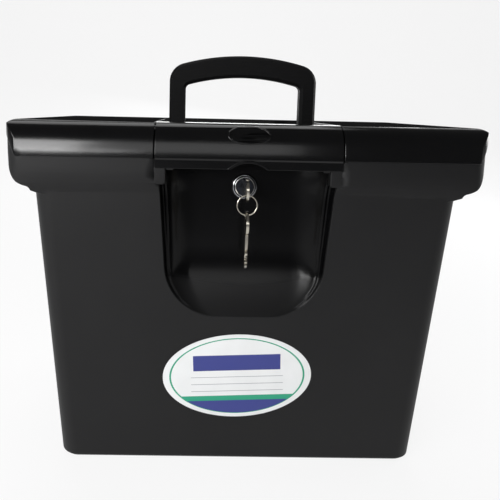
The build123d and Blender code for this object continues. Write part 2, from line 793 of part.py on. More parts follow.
def make_latch():
    """The latch flap: a rolled cover hinged along its ridge, with closed ends, two hooks and a lock notch."""
    half = latch_half_width
    solid = side_outline(latch_side_face(0), -half, half)
    solid -= side_outline(latch_side_face(latch_wall), -half + latch_wall, half - latch_wall)
    skirt_inside = latch_skirt_front + latch_wall
    solid -= block(-half - 1, half + 1, skirt_inside, 0, latch_skirt_bottom - 1, rim_top + latch_rim_gap)
    ear_back = -lid_half_depth + latch_end_depth
    solid -= block(-half - 1, half + 1, ear_back, 0, rim_height, latch_pivot_z - latch_end_radius)
    solid += badge_ring()
    notch_z = lock_height
    border = rod(
        "Y",
        latch_notch_radius + latch_border_width,
        latch_skirt_front - latch_border_height,
        latch_skirt_front + 1,
        0,
        notch_z,
    )
    border &= block(-far, far, -far, far, latch_skirt_bottom, rim_height - latch_skirt_step)
    solid += border
    solid -= rod("Y", latch_notch_radius, -far / 2, latch_pivot_y, 0, notch_z)
    for side in (-1, 1):
        solid += latch_hook(side)
        end = side * (half + 1)
        start = side * (half - latch_wall - latch_pivot_cover)
        solid -= rod(
            "X", latch_pin_radius + running_gap, min(start, end), max(start, end), latch_pivot_y, latch_pivot_z
        )
    return solid


def latch_hook(side):
    """One hook: an arm down the inside of the skirt and a barb that lies under the bin's catch bar."""
    bar_inner = scoop_top_half_width - catch_lug_width - catch_bar_length
    x0 = bar_inner + hook_end_gap
    x1 = x0 + hook_width
    arm_front = latch_skirt_front + latch_wall - hook_root
    arm_back = arm_front + hook_thickness
    barb_top = rim_height - catch_lug_drop - catch_bar_thickness - hook_clearance
    barb_bottom = barb_top - hook_thickness
    arm = block(x0, x1, arm_front, arm_back, barb_bottom, rim_height + hook_arm_rise)
    arm += block(x0, x1, arm_front, arm_front + hook_reach, barb_bottom, barb_top)
    return arm if side > 0 else mirrored(arm)


def badge_ring():
    """A plain raised oval ring on the roll of the latch."""
    ring = Ellipse(badge_half_width, badge_half_height)
    ring -= Ellipse(badge_half_width - badge_line_width, badge_half_height - badge_line_width)
    front = Plane(origin=(0, -lid_half_depth, rim_height + badge_rise), x_dir=(1, 0, 0), z_dir=(0, -1, 0))
    band = extrude(front * ring, -lid_front_roll)
    skin = latch_side_face(-badge_height) - latch_side_face(latch_wall / 2)
    return band & side_outline(skin, -badge_half_width, badge_half_width)


def make_handle():
    """Carry handle: an arched grip on two legs, round at the pivots."""
    outer = handle_outer_width / 2
    inner = handle_inner_width / 2
    drop_outer = handle_arch_radius - math.sqrt(handle_arch_radius**2 - outer**2)
    inner_arch = handle_arch_radius - handle_grip_depth
    drop_inner = inner_arch - math.sqrt(inner_arch**2 - inner**2)
    inner_top = handle_top - handle_grip_depth
    low = handle_pivot_z
    edge = Polyline((-outer, handle_top - drop_outer), (-outer, low), (-inner, low), (-inner, inner_top - drop_inner))
    edge += ThreePointArc((-inner, inner_top - drop_inner), (0, inner_top), (inner, inner_top - drop_inner))
    edge += Polyline((inner, inner_top - drop_inner), (inner, low), (outer, low), (outer, handle_top - drop_outer))
    edge += ThreePointArc((outer, handle_top - drop_outer), (0, handle_top), (-outer, handle_top - drop_outer))
    face = make_face(edge)
    vertices = face.vertices()
    tops = [v for v in vertices if abs(abs(v.X) - outer) < 0.01 and v.Y > low + 1]
    face = fillet(tops, handle_outer_radius)
    inners = [v for v in face.vertices() if abs(abs(v.X) - inner) < 0.01 and v.Y > low + 1]
    face = fillet(inners, handle_inner_radius)
    half = handle_thickness / 2
    solid = front_outline(face, handle_pivot_y - half, handle_pivot_y + half)
    leg_edges = [
        edge for edge in solid.edges()
        if edge.center().Z > low + half and abs(edge.center().Y - handle_pivot_y) > half - 0.1
    ]
    solid = chamfer(leg_edges, handle_edge_bevel)
    for side in (-1, 1):
        x0 = min(side * inner, side * outer)
        x1 = max(side * inner, side * outer)
        solid += rod("X", half, x0, x1, handle_pivot_y, handle_pivot_z)
    for side in (-1, 1):
        x0 = min(side * inner, side * outer) - 1
        x1 = max(side * inner, side * outer) + 1
        solid -= rod("X", handle_pin_radius + running_gap, x0, x1, handle_pivot_y, handle_pivot_z)
    return solid


def handle_pin_ends():
    """X at which the right handle pin starts and ends, flush with the outer faces of its lugs."""
    start = handle_inner_width / 2 - handle_side_gap - handle_lug_thickness
    end = handle_outer_width / 2 + handle_side_gap + handle_lug_thickness
    return (start, end)


def make_pins():
    """Hinge, latch and handle pins of the right side; the left ones mirror them."""
    reach = 1.5 * hinge_knuckle_length + hinge_knuckle_gap
    start = hinge_centre_x - reach
    hinge = rod("X", hinge_pin_radius, start, hinge_centre_x + reach, hinge_axis_y, hinge_axis_z)
    latch_start = latch_half_width - latch_wall - latch_pin_reach
    latch_end = latch_bore_end() - pin_end_gap
    latch = rod("X", latch_pin_radius, latch_start, latch_end, latch_pivot_y, latch_pivot_z)
    handle_start, handle_end = handle_pin_ends()
    handle = rod("X", handle_pin_radius, handle_start, handle_end, handle_pivot_y, handle_pivot_z)
    return {"hinge_pin": hinge, "latch_pin": latch, "handle_pin": handle}


def make_lock_barrel():
    """Lock barrel: a round bezel in front of the wall and a body with two flats through it."""
    bezel = rod("Y", bezel_radius, bezel_face, scoop_back, 0, lock_height)
    bezel = chamfer(bezel.edges().sort_by(Axis.Y)[:1], bezel_bevel)
    body = rod("Y", barrel_radius, scoop_back, barrel_end, 0, lock_height)
    low = lock_height - bezel_radius
    high = lock_height + bezel_radius
    round_end = scoop_inner_face + barrel_collar_overrun
    flats = block(-barrel_flat_half_width, barrel_flat_half_width, scoop_back, barrel_end, low, high)
    flats += block(-bezel_radius, bezel_radius, scoop_back, round_end, low, high)
    barrel = bezel + (body & flats)
    barrel -= rod("Y", plug_radius + running_gap, bezel_face - 1, barrel_end + 1, 0, lock_height)
    flange_depth = plug_flange_thickness + running_gap
    flange_bore = plug_flange_radius + plug_flange_gap
    barrel -= rod("Y", flange_bore, bezel_face - 1, bezel_face + flange_depth, 0, lock_height)
    return barrel


def make_lock_nut():
    """Hexagon nut behind the wall."""
    start = scoop_inner_face + washer_thickness
    plane = Plane(origin=(0, start, lock_height), x_dir=(1, 0, 0), z_dir=(0, 1, 0))
    hexagon = RegularPolygon(nut_across_flats / 2, 6, major_radius=False)
    hexagon -= Circle(barrel_radius)
    return extrude(plane * hexagon, nut_thickness)


def make_lock_washer():
    """Flat washer between wall and nut."""
    start = scoop_inner_face
    end = start + washer_thickness
    ring = rod("Y", washer_radius, start, end, 0, lock_height)
    return ring - rod("Y", barrel_radius, start - 1, end + 1, 0, lock_height)


def wafer_y(index):
    """Y of the middle of one wafer along the plug."""
    return bezel_face + wafer_start + wafer_pitch * index


def make_lock_plug():
    """Turning plug: keyway from the front, wafer slots across it, and a square tail for the cam."""
    plug = rod("Y", plug_radius, bezel_face, barrel_end, 0, lock_height)
    plug += rod("Y", plug_flange_radius, bezel_face, bezel_face + plug_flange_thickness, 0, lock_height)
    tail = cam_tail_half_width
    plug += block(-tail, tail, barrel_end, cam_front + cam_thickness, lock_height - tail, lock_height + tail)
    slot_half = key_thickness / 2 + keyway_side_gap
    slot_high = key_blade_height / 2 + keyway_top_gap
    end = key_shoulder_y + key_blade_length + key_shoulder_gap
    plug -= block(-slot_half, slot_half, bezel_face - 1, end, lock_height - slot_high, lock_height + slot_high)
    for k in range(wafer_count):
        half = wafer_thickness / 2 + wafer_gap
        side = wafer_width / 2 + wafer_gap
        plug -= block(-side, side, wafer_y(k) - half, wafer_y(k) + half, 0, far)
    return plug - rod("Y", screw_radius, end + 1, far / 2, 0, lock_height)


def make_lock_wafers():
    """Brass wafers that ride in the plug's slots and straddle the key blade."""
    wafers = []
    for k in range(wafer_count):
        high = math.sqrt(plug_radius**2 - (wafer_width / 2) ** 2) - wafer_gap
        window = key_thickness / 2 + wafer_window_side_gap
        window_high = key_blade_height / 2 + wafer_window_top_gap
        y0 = wafer_y(k) - wafer_thickness / 2
        y1 = wafer_y(k) + wafer_thickness / 2
        plate = block(-wafer_width / 2, wafer_width / 2, y0, y1, lock_height - high, lock_height + high)
        plate -= block(-window, window, y0 - 1, y1 + 1, lock_height - window_high, lock_height + window_high)
        wafers.append(plate)
    return Compound(children=wafers)


def make_lock_cam():
    """Cam on the plug's tail, pointing up when the box is unlocked."""
    plane = Plane(origin=(0, cam_front, lock_height), x_dir=(-1, 0, 0), z_dir=(0, 1, 0))
    half = cam_width / 2
    face = Circle(cam_hub_radius) + Pos(0, (cam_length - half) / 2) * Rectangle(cam_width, cam_length - half)
    face += Pos(0, cam_length - half) * Circle(half)
    face -= Rectangle(2 * cam_tail_half_width, 2 * cam_tail_half_width)
    return extrude(plane * face, cam_thickness)


def make_cam_screw():
    """Pan-head screw that holds the cam on the plug."""
    head_start = cam_front + cam_thickness
    shank = rod("Y", screw_radius, head_start - screw_shank_length, head_start, 0, lock_height)
    head = rod("Y", screw_head_radius, head_start, head_start + screw_head_height, 0, lock_height)
    head_end = head_start + screw_head_height
    half_slot = screw_slot_width / 2
    high = lock_height + screw_head_radius + 1
    low = lock_height - screw_head_radius - 1
    return shank + head - block(-half_slot, half_slot, head_end - screw_slot_depth, head_end + 1, low, high)


def key_form():
    """A flat key in the Y-Z plane: shoulder at the origin, blade along +Y, round bow along -Y."""
    half = key_blade_height / 2
    tip = key_blade_length - key_tip_length
    blade = Polyline(
        (-key_blade_root, -half),
        (tip, -half),
        (key_blade_length, -key_tip_height / 2),
        (key_blade_length, key_tip_height / 2),
        (tip, half),
        (-key_blade_root, half),
        close=True,
    )
    face = make_face(blade)
    wide = key_notch_half_width
    for k, depth in enumerate(key_notch_depths):
        y = wafer_y(k) - key_shoulder_y
        face -= make_face(Polyline((y - wide, -half), (y, -half + depth), (y + wide, -half), close=True))
    face += Pos(-key_bow_centre / 2, 0) * Rectangle(key_bow_centre, key_neck_height)
    face += Pos(-key_bow_centre, 0) * Circle(key_bow_radius)
    face -= Pos(-key_hole_centre, 0) * RectangleRounded(key_hole_length, key_hole_width, key_hole_corner)
    return side_outline(face, -key_thickness / 2, key_thickness / 2)


def make_key():
    """The key in the lock."""
    return Pos(0, key_shoulder_y, lock_height) * key_form()


def make_spare_key():
    """The second key, hanging blade down from the ring."""
    far_edge = key_hole_centre + key_hole_length / 2
    shoulder_z = ring_bottom_z - (far_edge - ring_wire_radius - spare_key_gap)
    return Pos(0, ring_y, shoulder_z) * Rot(-90, 0, 0) * key_form()


def make_key_ring():
    """Wire ring through the bow of the key in the lock."""
    wire = Pos(ring_radius, 0) * RegularPolygon(ring_wire_radius, ring_wire_sides)
    ring = revolve(Plane.XZ * wire, Axis.Z)
    return Pos(0, ring_y, ring_centre_z) * Rot(90, 0, 0) * ring


def make_contents_label():
    """Oval paper label stuck on the sloping front wall."""
    lean = math.degrees(math.atan((neck_depth - base_depth) / 2 / neck_height))
    y = -taper_half(base_depth, neck_depth, label_centre_z)
    plane = Plane(origin=(label_centre_x, y, label_centre_z), x_dir=(1, 0, 0), z_dir=(0, -1, 0))
    plane = plane.rotated((lean, 0, 0))
    return extrude(plane * Rot(0, 0, label_tilt) * Ellipse(label_width / 2, label_height / 2), label_thickness)


nodes = {
    "bin": make_bin(),
    "lid": make_lid(),
    "latch": make_latch(),
    "handle": make_handle(),
    "lock_barrel": make_lock_barrel(),
    "lock_nut": make_lock_nut(),
    "lock_washer": make_lock_washer(),
    "lock_plug": make_lock_plug(),
    "lock_wafers": make_lock_wafers(),
    "lock_strike": make_lock_strike(),
    "strike_screws": make_strike_screws(),
    "lock_cam": make_lock_cam(),
    "cam_screw": make_cam_screw(),
    "key": make_key(),
    "spare_key": make_spare_key(),
    "key_ring": make_key_ring(),
    "contents_label": make_contents_label(),
}
for name, pin in make_pins().items():
    nodes["right_" + name] = pin
    nodes["left_" + name] = mirrored(pin)
for name, solid in nodes.items():
    export_step(solid, "parts/" + name + ".step")
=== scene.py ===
import bmesh
import bpy
import math
import numpy as np
from mathutils import Matrix, Vector


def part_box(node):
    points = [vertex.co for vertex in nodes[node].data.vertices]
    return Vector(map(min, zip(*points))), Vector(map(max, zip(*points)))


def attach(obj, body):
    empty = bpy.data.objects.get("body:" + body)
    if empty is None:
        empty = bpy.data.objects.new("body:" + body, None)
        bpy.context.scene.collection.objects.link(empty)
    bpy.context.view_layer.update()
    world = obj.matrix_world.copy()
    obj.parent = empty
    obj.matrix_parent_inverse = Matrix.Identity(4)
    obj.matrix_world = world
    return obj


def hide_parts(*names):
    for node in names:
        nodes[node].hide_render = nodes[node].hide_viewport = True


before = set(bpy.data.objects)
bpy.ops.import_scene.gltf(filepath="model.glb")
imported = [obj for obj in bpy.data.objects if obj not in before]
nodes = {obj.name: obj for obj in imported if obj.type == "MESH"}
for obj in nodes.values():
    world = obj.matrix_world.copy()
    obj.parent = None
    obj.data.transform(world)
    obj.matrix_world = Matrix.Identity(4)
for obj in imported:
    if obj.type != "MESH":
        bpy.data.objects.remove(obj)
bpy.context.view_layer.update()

# ---- Studio: a sheet of pale paper that lies flat under the box and sweeps up behind it.
# Six soft rectangular lamps stand round it, and the rest of the light is even pale air.

PAPER = (0.93, 0.93, 0.94, 1.0)
PAPER_FRONT = (0.42, 0.42, 0.43, 1.0)
PAPER_FADE = (-0.72, -0.50)
PAPER_WHITE = 0.86
PAPER_HALF = 3.2
SWEEP_START = 1.2
SWEEP_BEND = 1.1
SWEEP_HEIGHT = 2.6
SWEEP_STEPS = 24
IS_CAMERA_RAY = 0
IS_GLOSSY_RAY = 3
IS_TRANSMISSION_RAY = 6
AIR = 0.11


class Sock:
    """A shader socket that stands in a sum: each operator adds the Math node of that name."""

    def __init__(self, maker, socket):
        self.maker = maker
        self.socket = socket

    def maths(self, operation, *values):
        return self.maker.node("ShaderNodeMath", {"operation": operation}, dict(enumerate(values)))[0]

    def __add__(self, other):
        return self.maths("ADD", self, other)

    __radd__ = __add__

    def __mul__(self, other):
        return self.maths("MULTIPLY", self, other)

    __rmul__ = __mul__

    def __sub__(self, other):
        return self.maths("SUBTRACT", self, other)

    def __rsub__(self, other):
        return self.maths("SUBTRACT", other, self)

    def __truediv__(self, other):
        return self.maths("DIVIDE", self, other)

    def __pow__(self, other):
        return self.maths("POWER", self, other)

    def __gt__(self, other):
        return self.maths("GREATER_THAN", self, other)

    def __lt__(self, other):
        return self.maths("LESS_THAN", self, other)

    def __abs__(self):
        return self.maths("ABSOLUTE", self)


class Finish:
    """A finish under construction. node() adds any node from its type, its settings and its inputs."""

    def __init__(self, name):
        self.material = bpy.data.materials.new(name)
        self.material.use_nodes = True
        self.tree = self.material.node_tree
        self.tree.nodes.clear()
        self.out = self.tree.nodes.new("ShaderNodeOutputMaterial")

    def node(self, kind, settings=None, inputs=None):
        made = self.tree.nodes.new(kind)
        for key, value in (settings or {}).items():
            setattr(made, key, value)
        for key, value in (inputs or {}).items():
            target = made.inputs[key]
            if isinstance(value, Sock):
                self.tree.links.new(value.socket, target)
            else:
                target.default_value = value
        return [Sock(self, socket) for socket in made.outputs]

    def place(self):
        """Object coordinates, in metres from the middle of the box's base."""
        return self.node("ShaderNodeTexCoord")[3]

    def axes(self):
        """The three object coordinates as single numbers, in metres."""
        return self.node("ShaderNodeSeparateXYZ", None, {0: self.place()})

    def noise(self, scale, detail=2.0, stretch=(1.0, 1.0, 1.0), rough=0.5):
        """Soft noise from 0 to 1; scale is blotches per metre and stretch pulls it along an axis."""
        where = self.node("ShaderNodeMapping", None, {0: self.place(), "Scale": stretch})[0]
        inputs = {0: where, "Scale": scale, "Detail": detail, "Roughness": rough}
        return self.node("ShaderNodeTexNoise", None, inputs)[0]

    def ramp(self, value, low, high):
        """Smooth step: 0 at low and beyond it, 1 at high and beyond it."""
        kind = {"interpolation_type": "SMOOTHSTEP"}
        return self.node("ShaderNodeMapRange", kind, {0: value, 1: low, 2: high})[0]

    def blend(self, factor, first, second):
        """Colour first where the factor is 0 and second where it is 1."""
        return self.node("ShaderNodeMix", {"data_type": "RGBA"}, {0: factor, 6: first, 7: second})[2]

    def bump(self, height, distance, strength=1.0, normal=None):
        """Normal raised by a height from 0 to 1 times a distance in metres."""
        inputs = {"Height": height, "Distance": distance, "Strength": strength}
        if normal is not None:
            inputs["Normal"] = normal
        return self.node("ShaderNodeBump", None, inputs)[0]

    def surface(self, shader):
        self.tree.links.new(shader.socket, self.out.inputs["Surface"])

    def bsdf(self, **inputs):
        """Principled shader with sockets named in the keywords (underscores stand for spaces)."""
        named = {key.replace("_", " "): value for key, value in inputs.items()}
        self.surface(self.node("ShaderNodeBsdfPrincipled", None, named)[0])


def grid_mesh(name, points, close_u=False, close_v=False):
    """Object from an array of points [u, v, 3]: neighbours on the grid are joined by four-sided faces."""
    nu, nv = points.shape[:2]
    rows = np.arange(nu * nv).reshape(nu, nv)
    rows = np.vstack([rows, rows[:1]]) if close_u else rows
    rows = np.hstack([rows, rows[:, :1]]) if close_v else rows
    faces = np.stack([rows[:-1, :-1], rows[1:, :-1], rows[1:, 1:], rows[:-1, 1:]], -1).reshape(-1, 4)
    mesh = bpy.data.meshes.new(name)
    mesh.from_pydata(points.reshape(-1, 3).tolist(), [], faces.tolist())
    made = bpy.data.objects.new(name, mesh)
    bpy.context.collection.objects.link(made)
    mesh.polygons.foreach_set("use_smooth", np.ones(len(faces), bool))
    return made


def sweep_points():
    """Floor flat from the front edge to the bend, then a quarter circle up, then a straight wall."""
    turn = np.linspace(0, math.pi / 2, SWEEP_STEPS)
    wall = SWEEP_START + SWEEP_BEND
    y = np.concatenate([[-PAPER_HALF], SWEEP_START + SWEEP_BEND * np.sin(turn), [wall]])
    z = np.concatenate([[0.0], SWEEP_BEND * (1 - np.cos(turn)), [SWEEP_HEIGHT]])
    x = np.linspace(-PAPER_HALF, PAPER_HALF, 3)
    return np.stack(np.broadcast_arrays(x[:, None], y[None, :], z[None, :]), -1)


def studio_paper():
    """Matt paper, pale round the box and greyer in front, which cameras, mirrors and glass see lit up."""
    finish = Finish("studio_paper")
    near_box = finish.ramp(finish.axes()[1], *PAPER_FADE)
    colour = finish.blend(near_box, PAPER_FRONT, PAPER)
    rays = finish.node("ShaderNodeLightPath")
    seen = rays[IS_CAMERA_RAY]
    for kind in (IS_GLOSSY_RAY, IS_TRANSMISSION_RAY):
        adding = {"operation": "ADD", "use_clamp": True}
        seen = finish.node("ShaderNodeMath", adding, {0: seen, 1: rays[kind]})[0]
    lit = finish.node("ShaderNodeBsdfDiffuse", None, {"Color": colour})[0]
    bright = finish.node("ShaderNodeEmission", None, {"Strength": 1.0})[0]
    share = seen * near_box * PAPER_WHITE
    finish.surface(finish.node("ShaderNodeMixShader", None, {0: share, 1: lit, 2: bright})[0])
    return finish


floor = grid_mesh("pale_floor", sweep_points())
floor.data.materials.append(studio_paper().material)

world = bpy.data.worlds.new("studio_air")
bpy.context.scene.world = world
world.use_nodes = True
world.node_tree.nodes["Background"].inputs["Color"].default_value = (1.0, 1.0, 1.0, 1.0)
world.node_tree.nodes["Background"].inputs["Strength"].default_value = AIR


def lamp(name, place, aim, width, height, watts):
    """A soft rectangular lamp at a place, turned to face its aim."""
    data = bpy.data.lights.new(name, "AREA")
    data.shape = "RECTANGLE"
    data.size = width
    data.size_y = height
    data.energy = watts
    made = bpy.data.objects.new(name, data)
    made.location = place
    made.rotation_euler = (Vector(aim) - Vector(place)).to_track_quat("-Z", "Y").to_euler()
    made.visible_camera = False
    bpy.context.collection.objects.link(made)


lamp("left_strip", (-0.54, -0.66, 0.36), aim=(-0.08, 0, 0.17), width=0.6, height=0.22, watts=5.8)
lamp("front_strip", (-0.28, -1.58, 0.52), aim=(-0.1, 0, 0.25), width=1.3, height=0.40, watts=3.9)
lamp("tube", (-0.62, -1.30, 0.335), aim=(0, 0, 0.25), width=0.8, height=0.022, watts=1.8)
lamp("overhead", (-0.2, 0.9, 2.2), aim=(0, 0, 0.2), width=1.8, height=1.0, watts=14)
lamp("back_strip", (0.3, 1.7, 0.8), aim=(0, 0, 0.15), width=1.4, height=0.8, watts=14)
lamp("side_strip", (1.3, 0.55, 0.5), aim=(0.1, 0.05, 0.15), width=0.8, height=0.6, watts=7)


# ---- Camera: close in front of the box and a little above its lid, tilted down at its front.
# It leans a degree to one side, and its lens is shifted, so that it looks past the middle of its picture.

CAMERA_PLACE = (-0.03879, -0.45361, 0.28067)
CAMERA_YAW = -0.749
CAMERA_PITCH = -6.728
CAMERA_ROLL = 1.250
CAMERA_FOCUS = 498.53
PICTURE_WIDTH = 500.0
PICTURE_CENTRE = (201.06, 168.44)
SENSOR_WIDTH = 36.0
NEAREST_SEEN = 0.01

camera_data = bpy.data.cameras.new("camera")
camera = bpy.data.objects.new("camera", camera_data)
bpy.context.collection.objects.link(camera)
bpy.context.scene.camera = camera
camera_data.sensor_fit = "HORIZONTAL"
camera_data.sensor_width = SENSOR_WIDTH
camera_data.lens = CAMERA_FOCUS / PICTURE_WIDTH * SENSOR_WIDTH
camera_data.shift_x = (PICTURE_WIDTH / 2 - PICTURE_CENTRE[0]) / PICTURE_WIDTH
camera_data.shift_y = (PICTURE_CENTRE[1] - PICTURE_WIDTH / 2) / PICTURE_WIDTH
camera_data.clip_start = NEAREST_SEEN
turn = Matrix.Rotation(math.radians(CAMERA_YAW), 4, "Z")
tilt = Matrix.Rotation(math.radians(90 + CAMERA_PITCH), 4, "X")
roll = Matrix.Rotation(math.radians(CAMERA_ROLL), 4, "Z")
camera.matrix_world = Matrix.Translation(Vector(CAMERA_PLACE)) @ turn @ tilt @ roll
bpy.context.scene.view_settings.view_transform = "Standard"


# ---- Bin: one black polypropylene moulding, textured by its etched mould and polished in the scoop.
# Body, collar, ears, folder rails, catch lugs and hinge knuckles all come out of the same tool.
# Sizes of pieces are in millimetres, and MM makes them the metres that Blender and the masks work in.

MM = 0.001
BIN_DARK = (0.0085, 0.0085, 0.0088, 1.0)
BIN_LIGHT = (0.0130, 0.0130, 0.0134, 1.0)
SCUFF = (0.045, 0.045, 0.046, 1.0)
SCOOP_DARK = (0.0014, 0.0014, 0.0016, 1.0)
SCOOP_LIGHT = (0.0024, 0.0024, 0.0026, 1.0)
# Lighter tone painted on the scoop's foot: a painted reflection.
FOOT_PAINTED_REFLECTION = (0.0085, 0.0085, 0.0088, 1.0)
BIN_GRAIN = 1500.0
COARSE_GRAIN = 0.35
COARSE_SHARE = 0.3
CLOUDS = 16.0
CLOUD_DULLING = 0.12
STREAKS = 260.0
STREAK_PULL = (1.0, 1.0, 0.25)
STREAK_SHARE = (0.60, 0.78)
STREAK_STRENGTH = 0.7
FLOW = 22.0
FLOW_HEIGHT = 0.25
FLOW_STRENGTH = 0.5
FLOW_DULLING = 0.05
RUBS = 900.0
RUB_PULL = (0.08, 1.0, 1.0)
RUB_SHARE = (0.62, 0.80)
RUB_HEIGHT = 0.006
RUB_STRENGTH = 0.4
RUB_DULLING = 0.10
DUST = 1300.0
DUST_SHARE = (0.74, 0.80)
DUST_STRENGTH = 0.25
BIN_EDGE = 0.36
BODY_HALF_DEPTH = 80.5
BODY_TAPER = 15.0 / 223.0
COLLAR_FOOT = 217.0
RIM = 245.7
SCOOP_BACK = -73.95
SCOOP_HALF = 66.8
SCOOP_FOOT = 121.0
SCOOP_SLACK = 0.45
LOOKS_FORWARD = -0.05
LUG_INNER = 59.2
LUG_FOOT = 226.2
LUG_COVER_X = (58.0, 71.0)
LUG_COVER_Y = -85.0
LUG_COVER_Z = (221.5, 245.0)
COLLAR_SLICED = (212.0, 246.0)
SLICE_REACH = 150.0
SLICE_STEP = 15.0
JOIN = 0.01
FLAT_ANGLE = 0.4
EDGE_ANGLE = 30.0
EDGE_ROOM = 0.2
BASE_WEAR = (7.0, 1.0)
EAR_WEAR = (168.0, 176.0)
EAR_WEAR_SHARE = 0.5
# Edge and sag of the scoop's satin foot, which also carries a painted reflection.
SATIN_REFLECTION_EDGE = (150.0, 141.5)
SATIN_REFLECTION_SAG = 2.6
SATIN_DULLING = 1.6


def joined_copy(node_name, piece_name, sliced):
    """Mesh of a CAD node, its loose triangles joined and flat faces made whole, and which edges are corners.

    sliced gives the heights between which long curved strips are cut across, so that light runs evenly
    along them. A corner is an edge whose faces turn by more than EDGE_ANGLE.
    """
    mesh = nodes[node_name].data.copy()
    mesh.name = piece_name
    mesh.materials.clear()
    work = bmesh.new()
    work.from_mesh(mesh)
    bmesh.ops.remove_doubles(work, verts=work.verts, dist=JOIN * MM)
    bmesh.ops.dissolve_limit(work, angle_limit=math.radians(FLAT_ANGLE), verts=work.verts, edges=work.edges)
    if sliced is not None:
        low, high = sliced[0] * MM, sliced[1] * MM
        for place in np.arange(-SLICE_REACH, SLICE_REACH + SLICE_STEP / 2, SLICE_STEP):
            strips = [face for face in work.faces if all(low < v.co.z < high for v in face.verts)]
            around = {part for face in strips for part in (*face.verts, *face.edges)}
            cut = {"plane_co": (place * MM, 0, 0), "plane_no": (1, 0, 0)}
            bmesh.ops.bisect_plane(work, geom=strips + list(around), **cut)
    corners = np.array([edge.calc_face_angle(0.0) > math.radians(EDGE_ANGLE) for edge in work.edges])
    work.to_mesh(mesh)
    work.free()
    return mesh, corners


def rounding_shares(mesh, edge, crisp, room):
    """Share of the full rounding that each edge can take, from 0 to 1.

    A rounding takes at most a share, room, of the shortest edge that meets either of its ends, and none
    where crisp is true for its middle.
    """
    ends = np.empty(len(mesh.edges) * 2, np.int32)
    mesh.edges.foreach_get("vertices", ends)
    ends = ends.reshape(-1, 2)
    spots = np.empty(len(mesh.vertices) * 3)
    mesh.vertices.foreach_get("co", spots)
    pairs = spots.reshape(-1, 3)[ends]
    length = np.linalg.norm(pairs[:, 0] - pairs[:, 1], axis=1)
    shortest = np.full(len(mesh.vertices), np.inf)
    np.minimum.at(shortest, ends.ravel(), np.repeat(length, 2))
    shares = np.clip(room * shortest[ends].min(1) / (edge * MM), 0.0, 1.0)
    if crisp is not None:
        shares[crisp(pairs.mean(1) / MM)] = 0.0
    return shares


def chosen_finishes(mesh, choose):
    """Each face's place in the list of finishes, from its centre in millimetres and its normal."""
    centres = np.empty(len(mesh.polygons) * 3)
    normals = np.empty(len(mesh.polygons) * 3)
    mesh.polygons.foreach_get("center", centres)
    mesh.polygons.foreach_get("normal", normals)
    return choose(centres.reshape(-1, 3) / MM, normals.reshape(-1, 3)).astype(np.int32)


def moulded_copy(
    node_name, piece_name, body, edge, finishes, choose=None, crisp=None, sliced=None, room=EDGE_ROOM
):
    """Copy of a CAD node that replaces it: joined, its corners rounded by edge, dressed in its finishes.

    choose gives each face its finish, crisp keeps corners sharp, sliced cuts long strips across, and room
    limits the rounding where edges are short, as the three functions above say.
    """
    mesh, corners = joined_copy(node_name, piece_name, sliced)
    shares = corners * rounding_shares(mesh, edge, crisp, room)
    rounded = mesh.attributes.new("bevel_weight_edge", "FLOAT", "EDGE")
    rounded.data.foreach_set("value", shares.astype(np.float32))
    made = bpy.data.objects.new(piece_name, mesh)
    bpy.context.collection.objects.link(made)
    for finish in finishes:
        mesh.materials.append(finish.material)
    if choose is not None:
        mesh.polygons.foreach_set("material_index", chosen_finishes(mesh, choose))
    mesh.polygons.foreach_set("use_smooth", np.ones(len(mesh.polygons), bool))
    bevel = made.modifiers.new("soft_edges", "BEVEL")
    bevel.width = edge * MM
    bevel.segments = 2
    bevel.limit_method = "WEIGHT"
    bevel.use_clamp_overlap = False
    lay = made.modifiers.new("flat_faces_first", "WEIGHTED_NORMAL")
    lay.weight = 80
    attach(made, body)
    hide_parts(node_name)
    return made


def grained(name, dark, light, rough, grain, depth, level, scuffed=None):
    """Etched black moulding: two close tones in soft clouds under a pebble grain, streaked where scuffed."""
    finish = Finish(name)
    cloud = finish.noise(CLOUDS, 4.0)
    colour = finish.blend(cloud, dark, light)
    if scuffed is not None:
        streaks = finish.ramp(finish.noise(STREAKS, 5.0, STREAK_PULL, 0.65), *STREAK_SHARE)
        colour = finish.blend(streaks * scuffed(finish) * STREAK_STRENGTH, colour, SCUFF)
    pebbles = finish.noise(grain, 2.0) * (1 - COARSE_SHARE)
    pebbles = pebbles + finish.noise(grain * COARSE_GRAIN, 3.0) * COARSE_SHARE
    raised = finish.bump(pebbles, depth * MM)
    dull = (cloud - 0.5) * CLOUD_DULLING + rough
    finish.bsdf(Base_Color=colour, Roughness=dull, Normal=raised, Specular_IOR_Level=level)
    return finish


def polished(name, dark, light, rough, level, satin_and_reflection=None):
    """Polished black moulding: nearly smooth, with faint flow waves, dust specks and hairline rubs. Where a
    satin mask is given, that area is rougher and painted lighter as a painted reflection.
    """
    finish = Finish(name)
    flow = finish.noise(FLOW, 3.0)
    rubs = finish.ramp(finish.noise(RUBS, 3.0, RUB_PULL, 0.6), *RUB_SHARE)
    dust = finish.ramp(finish.noise(DUST, 1.0), *DUST_SHARE)
    colour = finish.blend(dust * DUST_STRENGTH, finish.blend(flow, dark, light), SCUFF)
    # The satin area is rougher, and its lighter colour is a painted reflection.
    if satin_and_reflection is not None:
        dull = satin_and_reflection(finish)
        colour = finish.blend(dull, colour, FOOT_PAINTED_REFLECTION)
        rubs = rubs + dull * SATIN_DULLING
    wavy = finish.bump(flow, FLOW_HEIGHT * MM, FLOW_STRENGTH)
    fine = finish.bump(rubs, RUB_HEIGHT * MM, RUB_STRENGTH, wavy)
    duller = rubs * RUB_DULLING + flow * FLOW_DULLING + rough
    finish.bsdf(Base_Color=colour, Roughness=duller, Normal=fine, Specular_IOR_Level=level)
    return finish


